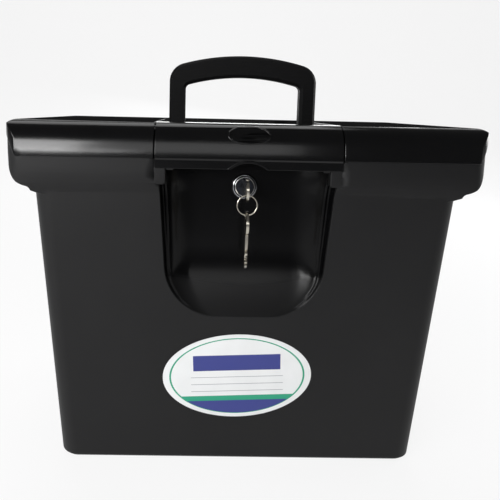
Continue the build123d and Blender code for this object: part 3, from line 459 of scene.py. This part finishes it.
def bin_wear(finish):
    """Where the bin rubs: its lowest few millimetres and the tips of the ears."""
    x, _, z = finish.axes()
    base = finish.ramp(z, BASE_WEAR[0] * MM, BASE_WEAR[1] * MM)
    ears = finish.ramp(abs(x), EAR_WEAR[0] * MM, EAR_WEAR[1] * MM)
    return base + ears * EAR_WEAR_SHARE


def satin_foot_with_reflection(finish):
    """1 on the ramp at the foot of the scoop, which is satin and painted lighter as a painted reflection;
    its edge sags in the middle.
    """
    x, _, z = finish.axes()
    return finish.ramp(z - x * x * SATIN_REFLECTION_SAG, SATIN_REFLECTION_EDGE[0] * MM, SATIN_REFLECTION_EDGE[1] * MM)


def body_half_depth(z):
    """Half depth of the body at height z: it grows evenly from the base up."""
    return BODY_HALF_DEPTH + BODY_TAPER * z


def bin_finish_of(centres, normals):
    """1 on the faces of the scoop, behind the slope of the front wall, apart from the two catch lugs."""
    x, y, z = centres.T
    side = np.abs(x)
    front = -body_half_depth(np.minimum(z, COLLAR_FOOT))
    in_scoop = (side < SCOOP_HALF + SCOOP_SLACK) & (z > SCOOP_FOOT - SCOOP_SLACK)
    in_scoop &= (y > front + SCOOP_SLACK) & (y < SCOOP_BACK + SCOOP_SLACK) & (normals[:, 1] < LOOKS_FORWARD)
    lug = (side > LUG_INNER) & (side < SCOOP_HALF - SCOOP_SLACK) & (z > LUG_FOOT)
    return in_scoop & ~(lug & (y < SCOOP_BACK - SCOOP_SLACK))


def under_catch_tabs(middles):
    """True round the feet of the two catch lugs, which the tabs below cover."""
    x, y, z = middles.T
    across = (np.abs(x) > LUG_COVER_X[0]) & (np.abs(x) < LUG_COVER_X[1])
    return across & (y < LUG_COVER_Y) & (z > LUG_COVER_Z[0]) & (z < LUG_COVER_Z[1])


bin_grain = grained(
    "bin_grain", BIN_DARK, BIN_LIGHT, rough=0.50, grain=BIN_GRAIN, depth=0.05, level=0.16, scuffed=bin_wear
)
# The scoop's foot is satin, and its lighter tone is a painted reflection.
scoop_gloss = polished("scoop_gloss", SCOOP_DARK, SCOOP_LIGHT, rough=0.16, level=0.13, satin_and_reflection=satin_foot_with_reflection)
bin_finishes = [bin_grain, scoop_gloss]
bin_shell = moulded_copy(
    "bin", "bin_shell", "bin", BIN_EDGE, bin_finishes, bin_finish_of, under_catch_tabs, COLLAR_SLICED
)


# ---- Scoop: the polished hollow under the latch, where fingers reach its flap and the key is turned.
# It is part of the bin's moulding, and this thin skin gives it the wide soft corners of the mould's core.

SCOOP_LEAN = math.radians(3.0)
SCOOP_DRAFT = math.radians(10.0)
SCOOP_PLANE = -104.0
SCOOP_CORNER = 44.0
SCOOP_TOP = 244.0
SCOOP_MIDDLE = 46.0
RAMP_TOP = 151.8
RAMP_LEAN = math.atan(14.9 / 28.1)
RAMP_EASE = 24.0
SCOOP_BLEND = 26.0
LEAST_BLEND = 0.001
BLEND_GROWTH = 1.1
COLLAR_FRONT = 98.0
COLLAR_FULL = 237.5
COLLAR_ROUND = 63.5
SKIN_PROUD = 0.05
SKIN_THICK = 0.08
SAME_POINT = 0.001
OUTLINE_STEPS = 26
NEAR_REACH = 22.0
NEAR_RINGS = [0.0, 0.02, 0.05, *np.linspace(0.09, 1.0, 20)]
FAR_REACH = 40.0
FAR_RINGS = 13
CROSSING_ROUNDS = 4
SEARCH_START = 2.0
HALVINGS = 40


def front_wall_y(z):
    """Y of the outside of the front wall: the body's slope, and above it the arc of the collar's bulge."""
    rise = np.clip(COLLAR_FULL - z, 0.0, COLLAR_FULL - COLLAR_FOOT)
    bulge = COLLAR_FRONT - COLLAR_ROUND + np.sqrt(COLLAR_ROUND**2 - rise**2)
    return -np.where(z > COLLAR_FOOT, np.maximum(body_half_depth(z), bulge), body_half_depth(z))


def scoop_outline(count):
    """The U of the mould's core as points and inward directions: leaning side, corner, foot, and back up."""
    foot_half = SCOOP_HALF - math.tan(SCOOP_LEAN) * (RIM - SCOOP_FOOT)
    turn = math.pi / 2 - SCOOP_LEAN
    centre_x = foot_half - SCOOP_CORNER * math.tan(turn / 2)
    centre_z = SCOOP_FOOT + SCOOP_CORNER
    side_low = centre_z - SCOOP_CORNER * math.sin(SCOOP_LEAN)
    side_z = np.linspace(SCOOP_TOP, side_low, count, endpoint=False)
    side_x = SCOOP_HALF - math.tan(SCOOP_LEAN) * (RIM - side_z)
    side_in = np.tile([-math.cos(SCOOP_LEAN), math.sin(SCOOP_LEAN)], (count, 1))
    angle = -SCOOP_LEAN - np.linspace(0, turn, count)
    out = np.stack([np.cos(angle), np.sin(angle)], -1)
    corner = np.array([centre_x, centre_z]) + SCOOP_CORNER * out
    foot_x = np.linspace(centre_x, 0, count)[1:]
    foot = np.stack([foot_x, np.full(count - 1, SCOOP_FOOT)], -1)
    foot_in = np.tile([0.0, 1.0], (count - 1, 1))
    half = np.concatenate([np.stack([side_x, side_z], -1), corner, foot])
    inward = np.concatenate([side_in, -out, foot_in])
    flip = np.array([-1.0, 1.0])
    return np.concatenate([half, half[-2::-1] * flip]), np.concatenate([inward, inward[-2::-1] * flip])


def scoop_grid():
    """Places on the hollow as seen from the front, and how far inside the core's U each one lies.

    Rings start at the mouth, which is where the drafted core crosses the front wall. The near ones run
    straight in across the wall and its corner, and the far ones close up on the middle line.
    """
    outline, inward = scoop_outline(OUTLINE_STEPS)
    mouth = math.tan(SCOOP_DRAFT) * (front_wall_y(outline[:, 1]) - SCOOP_PLANE)
    for _ in range(CROSSING_ROUNDS):
        crossing = outline[:, 1] + inward[:, 1] * mouth
        mouth = math.tan(SCOOP_DRAFT) * (front_wall_y(crossing) - SCOOP_PLANE)
    inset = mouth[:, None] + SKIN_PROUD + np.array(NEAR_RINGS) * NEAR_REACH
    near = outline[:, None, :] + inward[:, None, :] * inset[:, :, None]
    middle_z = np.clip(near[:, -1, 1], SCOOP_FOOT + SCOOP_MIDDLE, SCOOP_TOP)
    middle = np.stack([np.zeros(len(outline)), middle_z], -1)
    share = np.linspace(0, 1, FAR_RINGS + 1)[1:]
    far = near[:, -1:, :] * (1 - share[None, :, None]) + middle[:, None, :] * share[None, :, None]
    far_inset = inset[:, -1:] + share[None, :] * FAR_REACH
    return np.concatenate([near, far], 1), np.concatenate([inset, far_inset], 1)


def scoop_points():
    """The polished hollow: from the mouth in along the drafted wall, round a soft corner and over the back.

    The back is an upright wall with a leaning ramp at its foot, eased together. The surface is where the
    distance to the drafted wall and the distance to the back give zero, joined by a quarter round whose
    radius grows from nothing at the mouth. Its depth is found by halving.
    """
    flat, inset = scoop_grid()
    z = flat[:, :, 1]
    front = front_wall_y(z)
    ramp = SCOOP_BACK - (RAMP_TOP - z) * math.tan(RAMP_LEAN)
    near_bend = np.clip(RAMP_EASE - np.abs(z - RAMP_TOP), 0.0, None)
    ease = near_bend**2 / (4 * RAMP_EASE) * math.tan(RAMP_LEAN)
    back = np.minimum(ramp, SCOOP_BACK) - ease
    steep = np.where(z < RAMP_TOP, math.cos(RAMP_LEAN), 1.0)
    high = np.minimum(SCOOP_PLANE + inset / math.tan(SCOOP_DRAFT), back)
    low = front - SEARCH_START
    radius = np.clip(BLEND_GROWTH * (high - front), LEAST_BLEND, SCOOP_BLEND)
    for _ in range(HALVINGS):
        y = (low + high) / 2
        to_wall = inset * math.cos(SCOOP_DRAFT) - (y - SCOOP_PLANE) * math.sin(SCOOP_DRAFT)
        to_back = (back - y) * steep
        a = np.clip(radius - to_wall, 0.0, None)
        b = np.clip(radius - to_back, 0.0, None)
        inside = np.where((a > 0) & (b > 0), radius - np.hypot(a, b), np.minimum(to_wall, to_back)) > 0
        low = np.where(inside, y, low)
        high = np.where(inside, high, y)
    return np.stack([flat[:, :, 0], y - SKIN_PROUD, z], -1) * MM


def mend(mesh, merge=True, outward=True):
    """Merges points that lie together, and turns the faces of a closed piece outwards."""
    work = bmesh.new()
    work.from_mesh(mesh)
    if merge:
        bmesh.ops.remove_doubles(work, verts=work.verts, dist=SAME_POINT * MM)
    if outward:
        bmesh.ops.recalc_face_normals(work, faces=work.faces)
    work.to_mesh(mesh)
    work.free()


scoop_surface = grid_mesh("scoop_surface", scoop_points())
mend(scoop_surface.data, outward=False)
scoop_surface.data.materials.append(scoop_gloss.material)
skin = scoop_surface.modifiers.new("skin", "SOLIDIFY")
skin.thickness = SKIN_THICK * MM
skin.offset = -1.0
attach(scoop_surface, "bin")


# ---- Catch tabs: two small plates at the top corners of the scoop, moulded with the bin.
# The flap's hooks snap in beside them, and they cover the feet of the catch lugs.

TAB_SPAN = (59.6, 68.35)
TAB_HEIGHTS = (226.2, 241.0)
TAB_BACK = -88.7
TAB_PROUD = 0.18
TAB_ROUND = 0.9
TAB_CORNER = 2.4
TAB_SIDES = 48
TAB_RINGS = (0.0, 0.2, 0.4, 0.6, 0.8)
INNER_CORNER = 0.4
RIM_STEPS = 6


def tab_points(side):
    """A plate with rounded corners that follows the collar's bulge, its rim turned back in a quarter round.

    Rings run round the plate: some shrunk towards its middle on the face, then the rim, then the back.
    """
    half = np.array([TAB_SPAN[1] - TAB_SPAN[0], TAB_HEIGHTS[1] - TAB_HEIGHTS[0]]) / 2
    middle = np.array([sum(TAB_SPAN), sum(TAB_HEIGHTS)]) / 2
    angle = np.linspace(0, 2 * math.pi, TAB_SIDES, endpoint=False) + math.pi / TAB_SIDES
    out = np.stack([np.cos(angle), np.sin(angle)], -1)
    rings = [(share * (half - TAB_ROUND), INNER_CORNER * share * TAB_CORNER, 0.0) for share in TAB_RINGS]
    for turn in np.linspace(0, math.pi / 2, RIM_STEPS):
        rings.append((half - TAB_ROUND * (1 - math.sin(turn)), TAB_CORNER, TAB_ROUND * (1 - math.cos(turn))))
    points = []
    for reach, corner, sunk in rings:
        flat = np.clip(reach - corner, 0.0, None)
        spot = middle + np.sign(out) * flat + out * np.minimum(corner, reach)
        y = front_wall_y(spot[:, 1]) - TAB_PROUD + sunk
        points.append(np.stack([side * spot[:, 0], y, spot[:, 1]], -1))
    back = points[-1].copy()
    back[:, 1] = TAB_BACK
    end = np.tile([side * middle[0], TAB_BACK, middle[1]], (TAB_SIDES, 1))
    return np.stack(points + [back, end]) * MM


for name, side in (("right_catch_tab", 1), ("left_catch_tab", -1)):
    tab = grid_mesh(name, tab_points(side), close_v=True)
    mend(tab.data)
    tab.data.materials.append(bin_grain.material)
    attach(tab, "bin")


# ---- Hinge pins: bright zinc-plated steel wire, cut to length and pushed through the knuckles.
# Two at the rear carry the lid, and those of the latch and the handle come out of the same wire.

ZINC_DARK = (0.42, 0.43, 0.44, 1.0)
ZINC_LIGHT = (0.62, 0.63, 0.63, 1.0)
# Near black painted into the lock's grooves: painted shade.
GROOVE_SHADE = (0.010, 0.010, 0.011, 1.0)
BLOTCHES = 220.0
MARK_DEPTH = 0.01
MARK_STRENGTH = 0.5
MARK_DULLING = 0.14
GROOVE_SHADE_DULLING = 0.35


def plated(name, dark, light, rough, along=(1.0, 1.0, 1.0), grain=900.0, shaded=None):
    """Bare or plated metal: two tones in small blotches, fine drawing marks, and painted shade, near black
    and duller, where a shade mask is given.
    """
    finish = Finish(name)
    marks = finish.noise(grain, 3.0, along)
    colour = finish.blend(finish.noise(BLOTCHES, 4.0), dark, light)
    dull = marks * MARK_DULLING + rough
    if shaded is not None:
        shade_mask = shaded(finish)
        # Painted shade: the masked rings are blended to near black.
        colour = finish.blend(shade_mask, colour, GROOVE_SHADE)
        dull = dull + shade_mask * GROOVE_SHADE_DULLING
    raised = finish.bump(marks, MARK_DEPTH * MM, MARK_STRENGTH)
    finish.bsdf(Base_Color=colour, Metallic=1.0, Roughness=dull, Normal=raised)
    return finish


def dress(finish, *names):
    """Gives a finish to CAD nodes that stay as they are."""
    for name in names:
        nodes[name].data.materials.clear()
        nodes[name].data.materials.append(finish.material)


zinc = plated("zinc_wire", ZINC_DARK, ZINC_LIGHT, rough=0.24, along=(0.06, 1.0, 1.0))
dress(zinc, "right_hinge_pin", "left_hinge_pin")


# ---- Lid: one black moulding, polished on its rolled front and ends and satin on top and inside.
# It sits over the collar's lip and turns on the two rear hinges.

GLOSS_DARK = (0.0022, 0.0022, 0.0024, 1.0)
GLOSS_LIGHT = (0.0036, 0.0036, 0.0039, 1.0)
TOP_DARK = (0.0125, 0.0125, 0.0129, 1.0)
TOP_LIGHT = (0.0190, 0.0190, 0.0195, 1.0)
LID_EDGE = 0.5
LID_RIDGE_Y = -88.0
LID_TOP_ABOVE = 250.0
LOOKS_UP = 0.85
LOOKS_DOWN = -0.5


def lid_finish_of(centres, normals):
    """1 on the top behind the front ridge and on faces that look down, 0 on the polished roll and ends."""
    y, z = centres[:, 1], centres[:, 2]
    on_top = (normals[:, 2] > LOOKS_UP) & (y > LID_RIDGE_Y) & (z > LID_TOP_ABOVE)
    return on_top | (normals[:, 2] < LOOKS_DOWN)


lid_gloss = polished("lid_gloss", GLOSS_DARK, GLOSS_LIGHT, rough=0.14, level=0.28)
lid_satin = grained("lid_satin", TOP_DARK, TOP_LIGHT, rough=0.70, grain=1300.0, depth=0.04, level=0.0)
lid_shell = moulded_copy("lid", "lid_shell", "lid", LID_EDGE, [lid_gloss, lid_satin], lid_finish_of)


# ---- Latch flap: a polished black moulding hinged along the lid's ridge, with a bare oval badge ring.
# Its skirt has a half-round notch for the key, and two short pins carry its ends.

LATCH_EDGE = 0.4
LATCH_ROOM = 0.8

latch_gloss = polished("latch_gloss", GLOSS_DARK, GLOSS_LIGHT, rough=0.13, level=0.28)
latch_flap = moulded_copy("latch", "latch_flap", "latch", LATCH_EDGE, [latch_gloss], room=LATCH_ROOM)
dress(zinc, "right_latch_pin", "left_latch_pin")


# ---- Carry handle: an arched black moulding, its two faces covered with fine ribs for grip.
# It folds back into the lid's well on two pins through its feet.

HANDLE_DARK = (0.0045, 0.0045, 0.0047, 1.0)
HANDLE_LIGHT = (0.0075, 0.0075, 0.0078, 1.0)
HANDLE_EDGE = 0.5
HANDLE_TOP = 325.3
HANDLE_INNER_HALF = 47.5
HANDLE_GRIP = 17.6
HANDLE_ARCH = 183.0
HANDLE_CORNER = 15.4
HANDLE_BEVEL = 2.2
RIB_PITCH = 1.15
RIB_HALF = 0.45 * RIB_PITCH
RIB_HEIGHT = 0.22
RIB_SUNK = 0.02
RIB_LOW = 270.0
RIB_STEPS = 5
SLOT_LEAST = 1.0


def box_in_mm(node_name):
    """Lowest corner, middle and highest corner of a CAD node, in millimetres."""
    low, high = (np.array(corner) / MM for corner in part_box(node_name))
    return low, (low + high) / 2, high


_, HANDLE_MIDDLE, HANDLE_HIGH = box_in_mm("handle")
HANDLE_HALF, HANDLE_HALF_THICK, _ = HANDLE_HIGH - HANDLE_MIDDLE
HANDLE_Y = HANDLE_MIDDLE[1]

handle_satin = grained(
    "handle_satin", HANDLE_DARK, HANDLE_LIGHT, rough=0.46, grain=1700.0, depth=0.03, level=0.08
)
handle_body = moulded_copy("handle", "handle_body", "handle", HANDLE_EDGE, [handle_satin])
dress(zinc, "right_handle_pin", "left_handle_pin")


def outer_reach(z):
    """Half width of the flat face at height z: the leg, then the corner's quarter round, then the arch."""
    leg = HANDLE_HALF - HANDLE_BEVEL
    arch = HANDLE_ARCH - HANDLE_BEVEL
    under_top = HANDLE_TOP - HANDLE_ARCH
    corner = HANDLE_CORNER - HANDLE_BEVEL
    corner_x = leg - corner
    corner_z = under_top + math.sqrt((arch - corner) ** 2 - corner_x**2)
    on_arch = np.sqrt(np.maximum(arch**2 - (z - under_top) ** 2, 0.0))
    on_corner = corner_x + np.sqrt(np.maximum(corner**2 - np.maximum(z - corner_z, 0.0) ** 2, 0.0))
    return np.minimum(np.where(on_arch < corner_x, on_arch, on_corner), leg)


def inner_reach(z):
    """Half width of the hand opening at height z, 0 above it: the leg's inner side, then the inner arch."""
    arch = HANDLE_ARCH - HANDLE_GRIP + HANDLE_BEVEL
    under_top = HANDLE_TOP - HANDLE_ARCH
    on_arch = np.sqrt(np.maximum(arch**2 - (z - under_top) ** 2, 0.0))
    return np.minimum(on_arch, HANDLE_INNER_HALF + HANDLE_BEVEL)


def rib_points(start, end, z, face):
    """Half-round ridges along X: the same points over each at both ends; face is the side of the handle."""
    turn = np.linspace(0, math.pi, RIB_STEPS)
    x = np.stack([start, end], -1)[:, :, None] + 0 * turn
    y = HANDLE_Y + face * (HANDLE_HALF_THICK - RIB_SUNK + RIB_HEIGHT * np.sin(turn)) + 0 * x
    up = z[:, None, None] - face * RIB_HALF * np.cos(turn) + 0 * x
    return np.stack([x, y, up], -1) * MM


def ribs(name):
    """All ridges of both faces in one mesh: each has its own strip of faces, a back and two closed ends."""
    z = np.arange(RIB_LOW, HANDLE_TOP - HANDLE_BEVEL - RIB_PITCH, RIB_PITCH)
    out = outer_reach(z)
    inside = inner_reach(z)
    whole = inside < SLOT_LEAST
    starts = np.concatenate([-out[whole], -out[~whole], inside[~whole]])
    ends = np.concatenate([out[whole], -inside[~whole], out[~whole]])
    heights = np.concatenate([z[whole], z[~whole], z[~whole]])
    both = np.concatenate([rib_points(starts, ends, heights, face) for face in (-1, 1)])
    first = np.arange(len(both))[:, None] * 2 * RIB_STEPS
    step = first + np.arange(RIB_STEPS - 1)
    strips = np.stack([step, step + 1, step + RIB_STEPS + 1, step + RIB_STEPS], -1).reshape(-1, 4)
    backs = first + np.array([0, RIB_STEPS, 2 * RIB_STEPS - 1, RIB_STEPS - 1])
    left = first + np.arange(RIB_STEPS)[::-1]
    right = first + RIB_STEPS + np.arange(RIB_STEPS)
    mesh = bpy.data.meshes.new(name)
    faces = strips.tolist() + backs.tolist() + left.tolist() + right.tolist()
    mesh.from_pydata(both.reshape(-1, 3).tolist(), [], faces)
    mend(mesh, merge=False)
    made = bpy.data.objects.new(name, mesh)
    bpy.context.collection.objects.link(made)
    return made


handle_ribs = ribs("handle_ribs")
handle_ribs.data.materials.append(handle_satin.material)
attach(handle_ribs, "handle")


# ---- Lock barrel: die-cast zinc, chrome plated, with turned rings on its bezel and a long thread behind it.
# The nut and washer draw it against the scoop's back wall.

CHROME_DARK = (0.46, 0.47, 0.49, 1.0)
CHROME_LIGHT = (0.62, 0.63, 0.65, 1.0)
LOCK_LOW, LOCK_MIDDLE, LOCK_HIGH = box_in_mm("lock_barrel")
LOCK_Z = LOCK_MIDDLE[2]
BEZEL_FACE = LOCK_LOW[1]
BARREL_END = LOCK_HIGH[1]
BEZEL_RADIUS = LOCK_HIGH[0]
BEZEL_THICK = 2.5
BEZEL_RIM = 2.2
BARREL_BORE = 5.55
RECESS_RADIUS = 6.8
RECESS_DEPTH = 1.25
THREAD_RADII = (7.45, 7.95)
THREAD_START = -69.5
THREAD_PITCH = 1.0
THREAD_LEAD = 0.2
THREAD_SHORT = 0.4
END_CHAMFER = 0.15
FLAT_HALF = 7.2
FLATS_BEHIND = -70.5
LOCK_SIDES = 96
# Radii and half widths of the two rings of painted shade in the lock's grooves.
SHADED_GROOVE_RADII = (6.7, 8.2)
SHADED_GROOVE_HALVES = (0.3, 0.48)
RAISED_RING = [(6.8, 0.6), (6.95, 0.25), (7.15, 0.05), (7.35, 0.0), (7.55, 0.1), (7.75, 0.4), (7.9, 0.9)]
FACE_GROOVE = [(8.05, 1.15), (8.2, 1.15), (8.35, 0.9)]
OUTER_SLOPE = [(8.6, 0.7), (8.9, 0.8), (9.2, 1.1), (9.5, 1.4), (9.8, 1.8)]


def barrel_profile():
    """The barrel's outline as (radius, y): up the bore, out over the face, back along the thread.

    The face's own points are (radius, depth below the face).
    """
    back = BEZEL_FACE + BEZEL_THICK
    recess = BEZEL_FACE + RECESS_DEPTH
    bore = [(BARREL_BORE, BARREL_END), (BARREL_BORE, recess), (RECESS_RADIUS, recess)]
    face = [(radius, BEZEL_FACE + depth) for radius, depth in RAISED_RING + FACE_GROOVE + OUTER_SLOPE]
    edge = [(BEZEL_RADIUS, BEZEL_FACE + BEZEL_RIM), (BEZEL_RADIUS, back)]
    neck = [(THREAD_RADII[1], back), (THREAD_RADII[1], THREAD_START - THREAD_LEAD)]
    turns = np.arange(THREAD_START, BARREL_END - THREAD_SHORT, THREAD_PITCH / 2)
    thread = [(THREAD_RADII[i % 2], y) for i, y in enumerate(turns)]
    end = [(THREAD_RADII[1] - END_CHAMFER, BARREL_END)]
    return np.array(bore + face + edge + neck + thread + end)


def turned_barrel(name):
    """The profile turned about the lock's axis: x and z follow a circle, and x is clipped to two flats."""
    profile = barrel_profile()
    turn = np.arange(LOCK_SIDES) / LOCK_SIDES * 2 * math.pi
    x = profile[:, :1] * np.sin(turn)
    z = LOCK_Z + profile[:, :1] * np.cos(turn)
    y = profile[:, 1:] + 0 * x
    x = np.where(y > FLATS_BEHIND, np.clip(x, -FLAT_HALF, FLAT_HALF), x)
    return grid_mesh(name, np.stack([x, y, z], -1) * MM, close_u=True, close_v=True)


def shaded_grooves(finish):
    """1 in the two grooves round the lock, which are painted near black as painted shade: beside the plug,
    and outside the raised ring.
    """
    x, _, z = finish.axes()
    up = z - LOCK_Z * MM
    out = (x * x + up * up) ** 0.5
    inner, outer = (abs(out - r * MM) < half * MM for r, half in zip(SHADED_GROOVE_RADII, SHADED_GROOVE_HALVES))
    return inner + outer


# The bezel's two grooves carry painted shade.
chrome = plated("lock_chrome", CHROME_DARK, CHROME_LIGHT, rough=0.07, grain=400.0, shaded=shaded_grooves)
lock_bezel = turned_barrel("lock_bezel")
lock_bezel.data.materials.append(chrome.material)
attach(lock_bezel, "bin")
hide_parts("lock_barrel")
dress(zinc, "lock_nut", "lock_washer")


# ---- Lock core: a dark chromed plug with its keyway, four brass wafers, and a steel cam held by one screw.
# The whole core turns in the barrel with the key.

BRASS_DARK = (0.55, 0.40, 0.16, 1.0)
BRASS_LIGHT = (0.72, 0.55, 0.27, 1.0)
PLUG_DARK = (0.030, 0.033, 0.042, 1.0)
PLUG_LIGHT = (0.10, 0.11, 0.13, 1.0)
PLUG_EDGE = 0.12

brass = plated("wafer_brass", BRASS_DARK, BRASS_LIGHT, rough=0.26, along=(1.0, 1.0, 0.1))
# The plug carries the same painted shade in the groove beside it.
plug_chrome = plated("plug_chrome", PLUG_DARK, PLUG_LIGHT, rough=0.10, grain=500.0, shaded=shaded_grooves)
plug_face = moulded_copy("lock_plug", "plug_face", "lock_core", PLUG_EDGE, [plug_chrome])
dress(brass, "lock_wafers")
dress(zinc, "lock_cam", "cam_screw")


# ---- Strike: a steel bracket under the lid that the cam turns behind.
# Two pan-head screws hold it up into the lid.

steel = plated("strike_steel", ZINC_DARK, ZINC_LIGHT, rough=0.30, along=(1.0, 0.08, 1.0))
dress(steel, "lock_strike", "strike_screws")


# ---- Keys: stamped nickel-plated brass, one in the lock and one hanging from it on a split wire ring.
# The ring's two turns lie side by side, so its wire looks like one with a groove.

NICKEL_DARK = (0.38, 0.35, 0.30, 1.0)
NICKEL_LIGHT = (0.60, 0.57, 0.50, 1.0)
KEY_EDGE = 0.22
_, RING_MIDDLE, RING_HIGH = box_in_mm("key_ring")
RING_WIRE = 0.6
RING_RADIUS = RING_HIGH[0] - RING_WIRE
RING_GROOVE = 0.14
RING_SIDES = 72
WIRE_SIDES = 16

nickel = plated("key_nickel", NICKEL_DARK, NICKEL_LIGHT, rough=0.14, along=(1.0, 0.15, 1.0), grain=700.0)
for node_name, piece_name in (("key", "key_in_lock"), ("spare_key", "hanging_key")):
    key_piece = moulded_copy(node_name, piece_name, node_name, KEY_EDGE, [nickel])


def ring_points():
    """A circle in the upright XZ plane carrying a round wire with a groove between its two turns."""
    around = np.arange(RING_SIDES)[:, None] / RING_SIDES * 2 * math.pi
    over = np.arange(WIRE_SIDES)[None, :] / WIRE_SIDES * 2 * math.pi
    wire = RING_WIRE * (1 - RING_GROOVE * np.abs(np.sin(over)) ** 12)
    radius = RING_RADIUS + wire * np.sin(over)
    y = RING_MIDDLE[1] + wire * np.cos(over) + 0 * around
    z = RING_MIDDLE[2] + radius * np.sin(around)
    return np.stack([radius * np.cos(around), y, z], -1) * MM


key_loop = grid_mesh("key_loop", ring_points(), close_u=True, close_v=True)
key_loop.data.materials.append(nickel.material)
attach(key_loop, "key_ring")
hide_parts("key_ring")


# ---- Contents label: an oval of white vinyl on the front, printed green and blue inside a thin green line.
# Between its band and its coloured foot are grey lines to write the contents on.

VINYL = (0.80, 0.81, 0.81, 1.0)
VINYL_WORN = (0.70, 0.71, 0.71, 1.0)
PRINT_GREEN = (0.016, 0.30, 0.17, 1.0)
PRINT_BLUE = (0.030, 0.040, 0.21, 1.0)
PRINT_GREY = (0.30, 0.31, 0.34, 1.0)
LABEL_MIDDLE = box_in_mm("contents_label")[1]
LABEL_TILT = math.radians(2.5)
LABEL_HALF = (58.0 * MM, 35.25 * MM)
SOILING = 60.0
SHEEN = 90.0
SHEEN_ROUGH = 0.34
SHEEN_CHANGE = 0.15
PEEL = 1800.0
PEEL_DEPTH = 0.01
PEEL_STRENGTH = 0.4
PINSTRIPE = 0.90
PINSTRIPE_HALF = 0.012
BAND_FOOT = 5.0 * MM
BAND_TOP = 18.0 * MM
BAND_HALF = 34.0 * MM
FOOT_TOP = -16.5 * MM
STRIP = 4.2 * MM
RULE_PITCH = 3.0 * MM
RULE_SHIFT = 0.5 * MM
RULE_WIDTH = 0.22 * MM
RULE_HALF = 36.0 * MM
RULE_TOP = BAND_FOOT - 2.0 * MM
RULE_FOOT = FOOT_TOP + 3.0 * MM


def printed_label():
    """White vinyl whose inks are masks in the label's own two directions, u along it and v up it."""
    finish = Finish("label_print")
    x, _, z = finish.axes()
    x = x - LABEL_MIDDLE[0] * MM
    z = z - LABEL_MIDDLE[2] * MM
    u = x * math.cos(LABEL_TILT) + z * math.sin(LABEL_TILT)
    v = z * math.cos(LABEL_TILT) - x * math.sin(LABEL_TILT)
    across = u / LABEL_HALF[0]
    up = v / LABEL_HALF[1]
    out = (across * across + up * up) ** 0.5
    pinstripe = abs(out - PINSTRIPE) < PINSTRIPE_HALF
    band = (v > BAND_FOOT) * (v < BAND_TOP) * (abs(u) < BAND_HALF)
    foot = (v < FOOT_TOP) * (out < PINSTRIPE)
    strip = foot * (v > FOOT_TOP - STRIP)
    folded = {0: v + RULE_SHIFT, 1: RULE_PITCH}
    to_rule = finish.node("ShaderNodeMath", {"operation": "PINGPONG"}, folded)[0]
    rules = (to_rule < RULE_WIDTH) * (v < RULE_TOP) * (v > RULE_FOOT) * (abs(u) < RULE_HALF)
    colour = finish.blend(finish.noise(SOILING, 4.0), VINYL, VINYL_WORN)
    colour = finish.blend(pinstripe, colour, PRINT_GREEN)
    colour = finish.blend(rules, colour, PRINT_GREY)
    for mask, ink in ((band, PRINT_BLUE), (foot, PRINT_BLUE), (strip, PRINT_GREEN)):
        colour = finish.blend(mask, colour, ink)
    orange_peel = finish.bump(finish.noise(PEEL, 2.0), PEEL_DEPTH * MM, PEEL_STRENGTH)
    sheen = finish.noise(SHEEN, 3.0) * SHEEN_CHANGE + SHEEN_ROUGH
    finish.bsdf(Base_Color=colour, Roughness=sheen, Normal=orange_peel)
    return finish


dress(printed_label(), "contents_label")
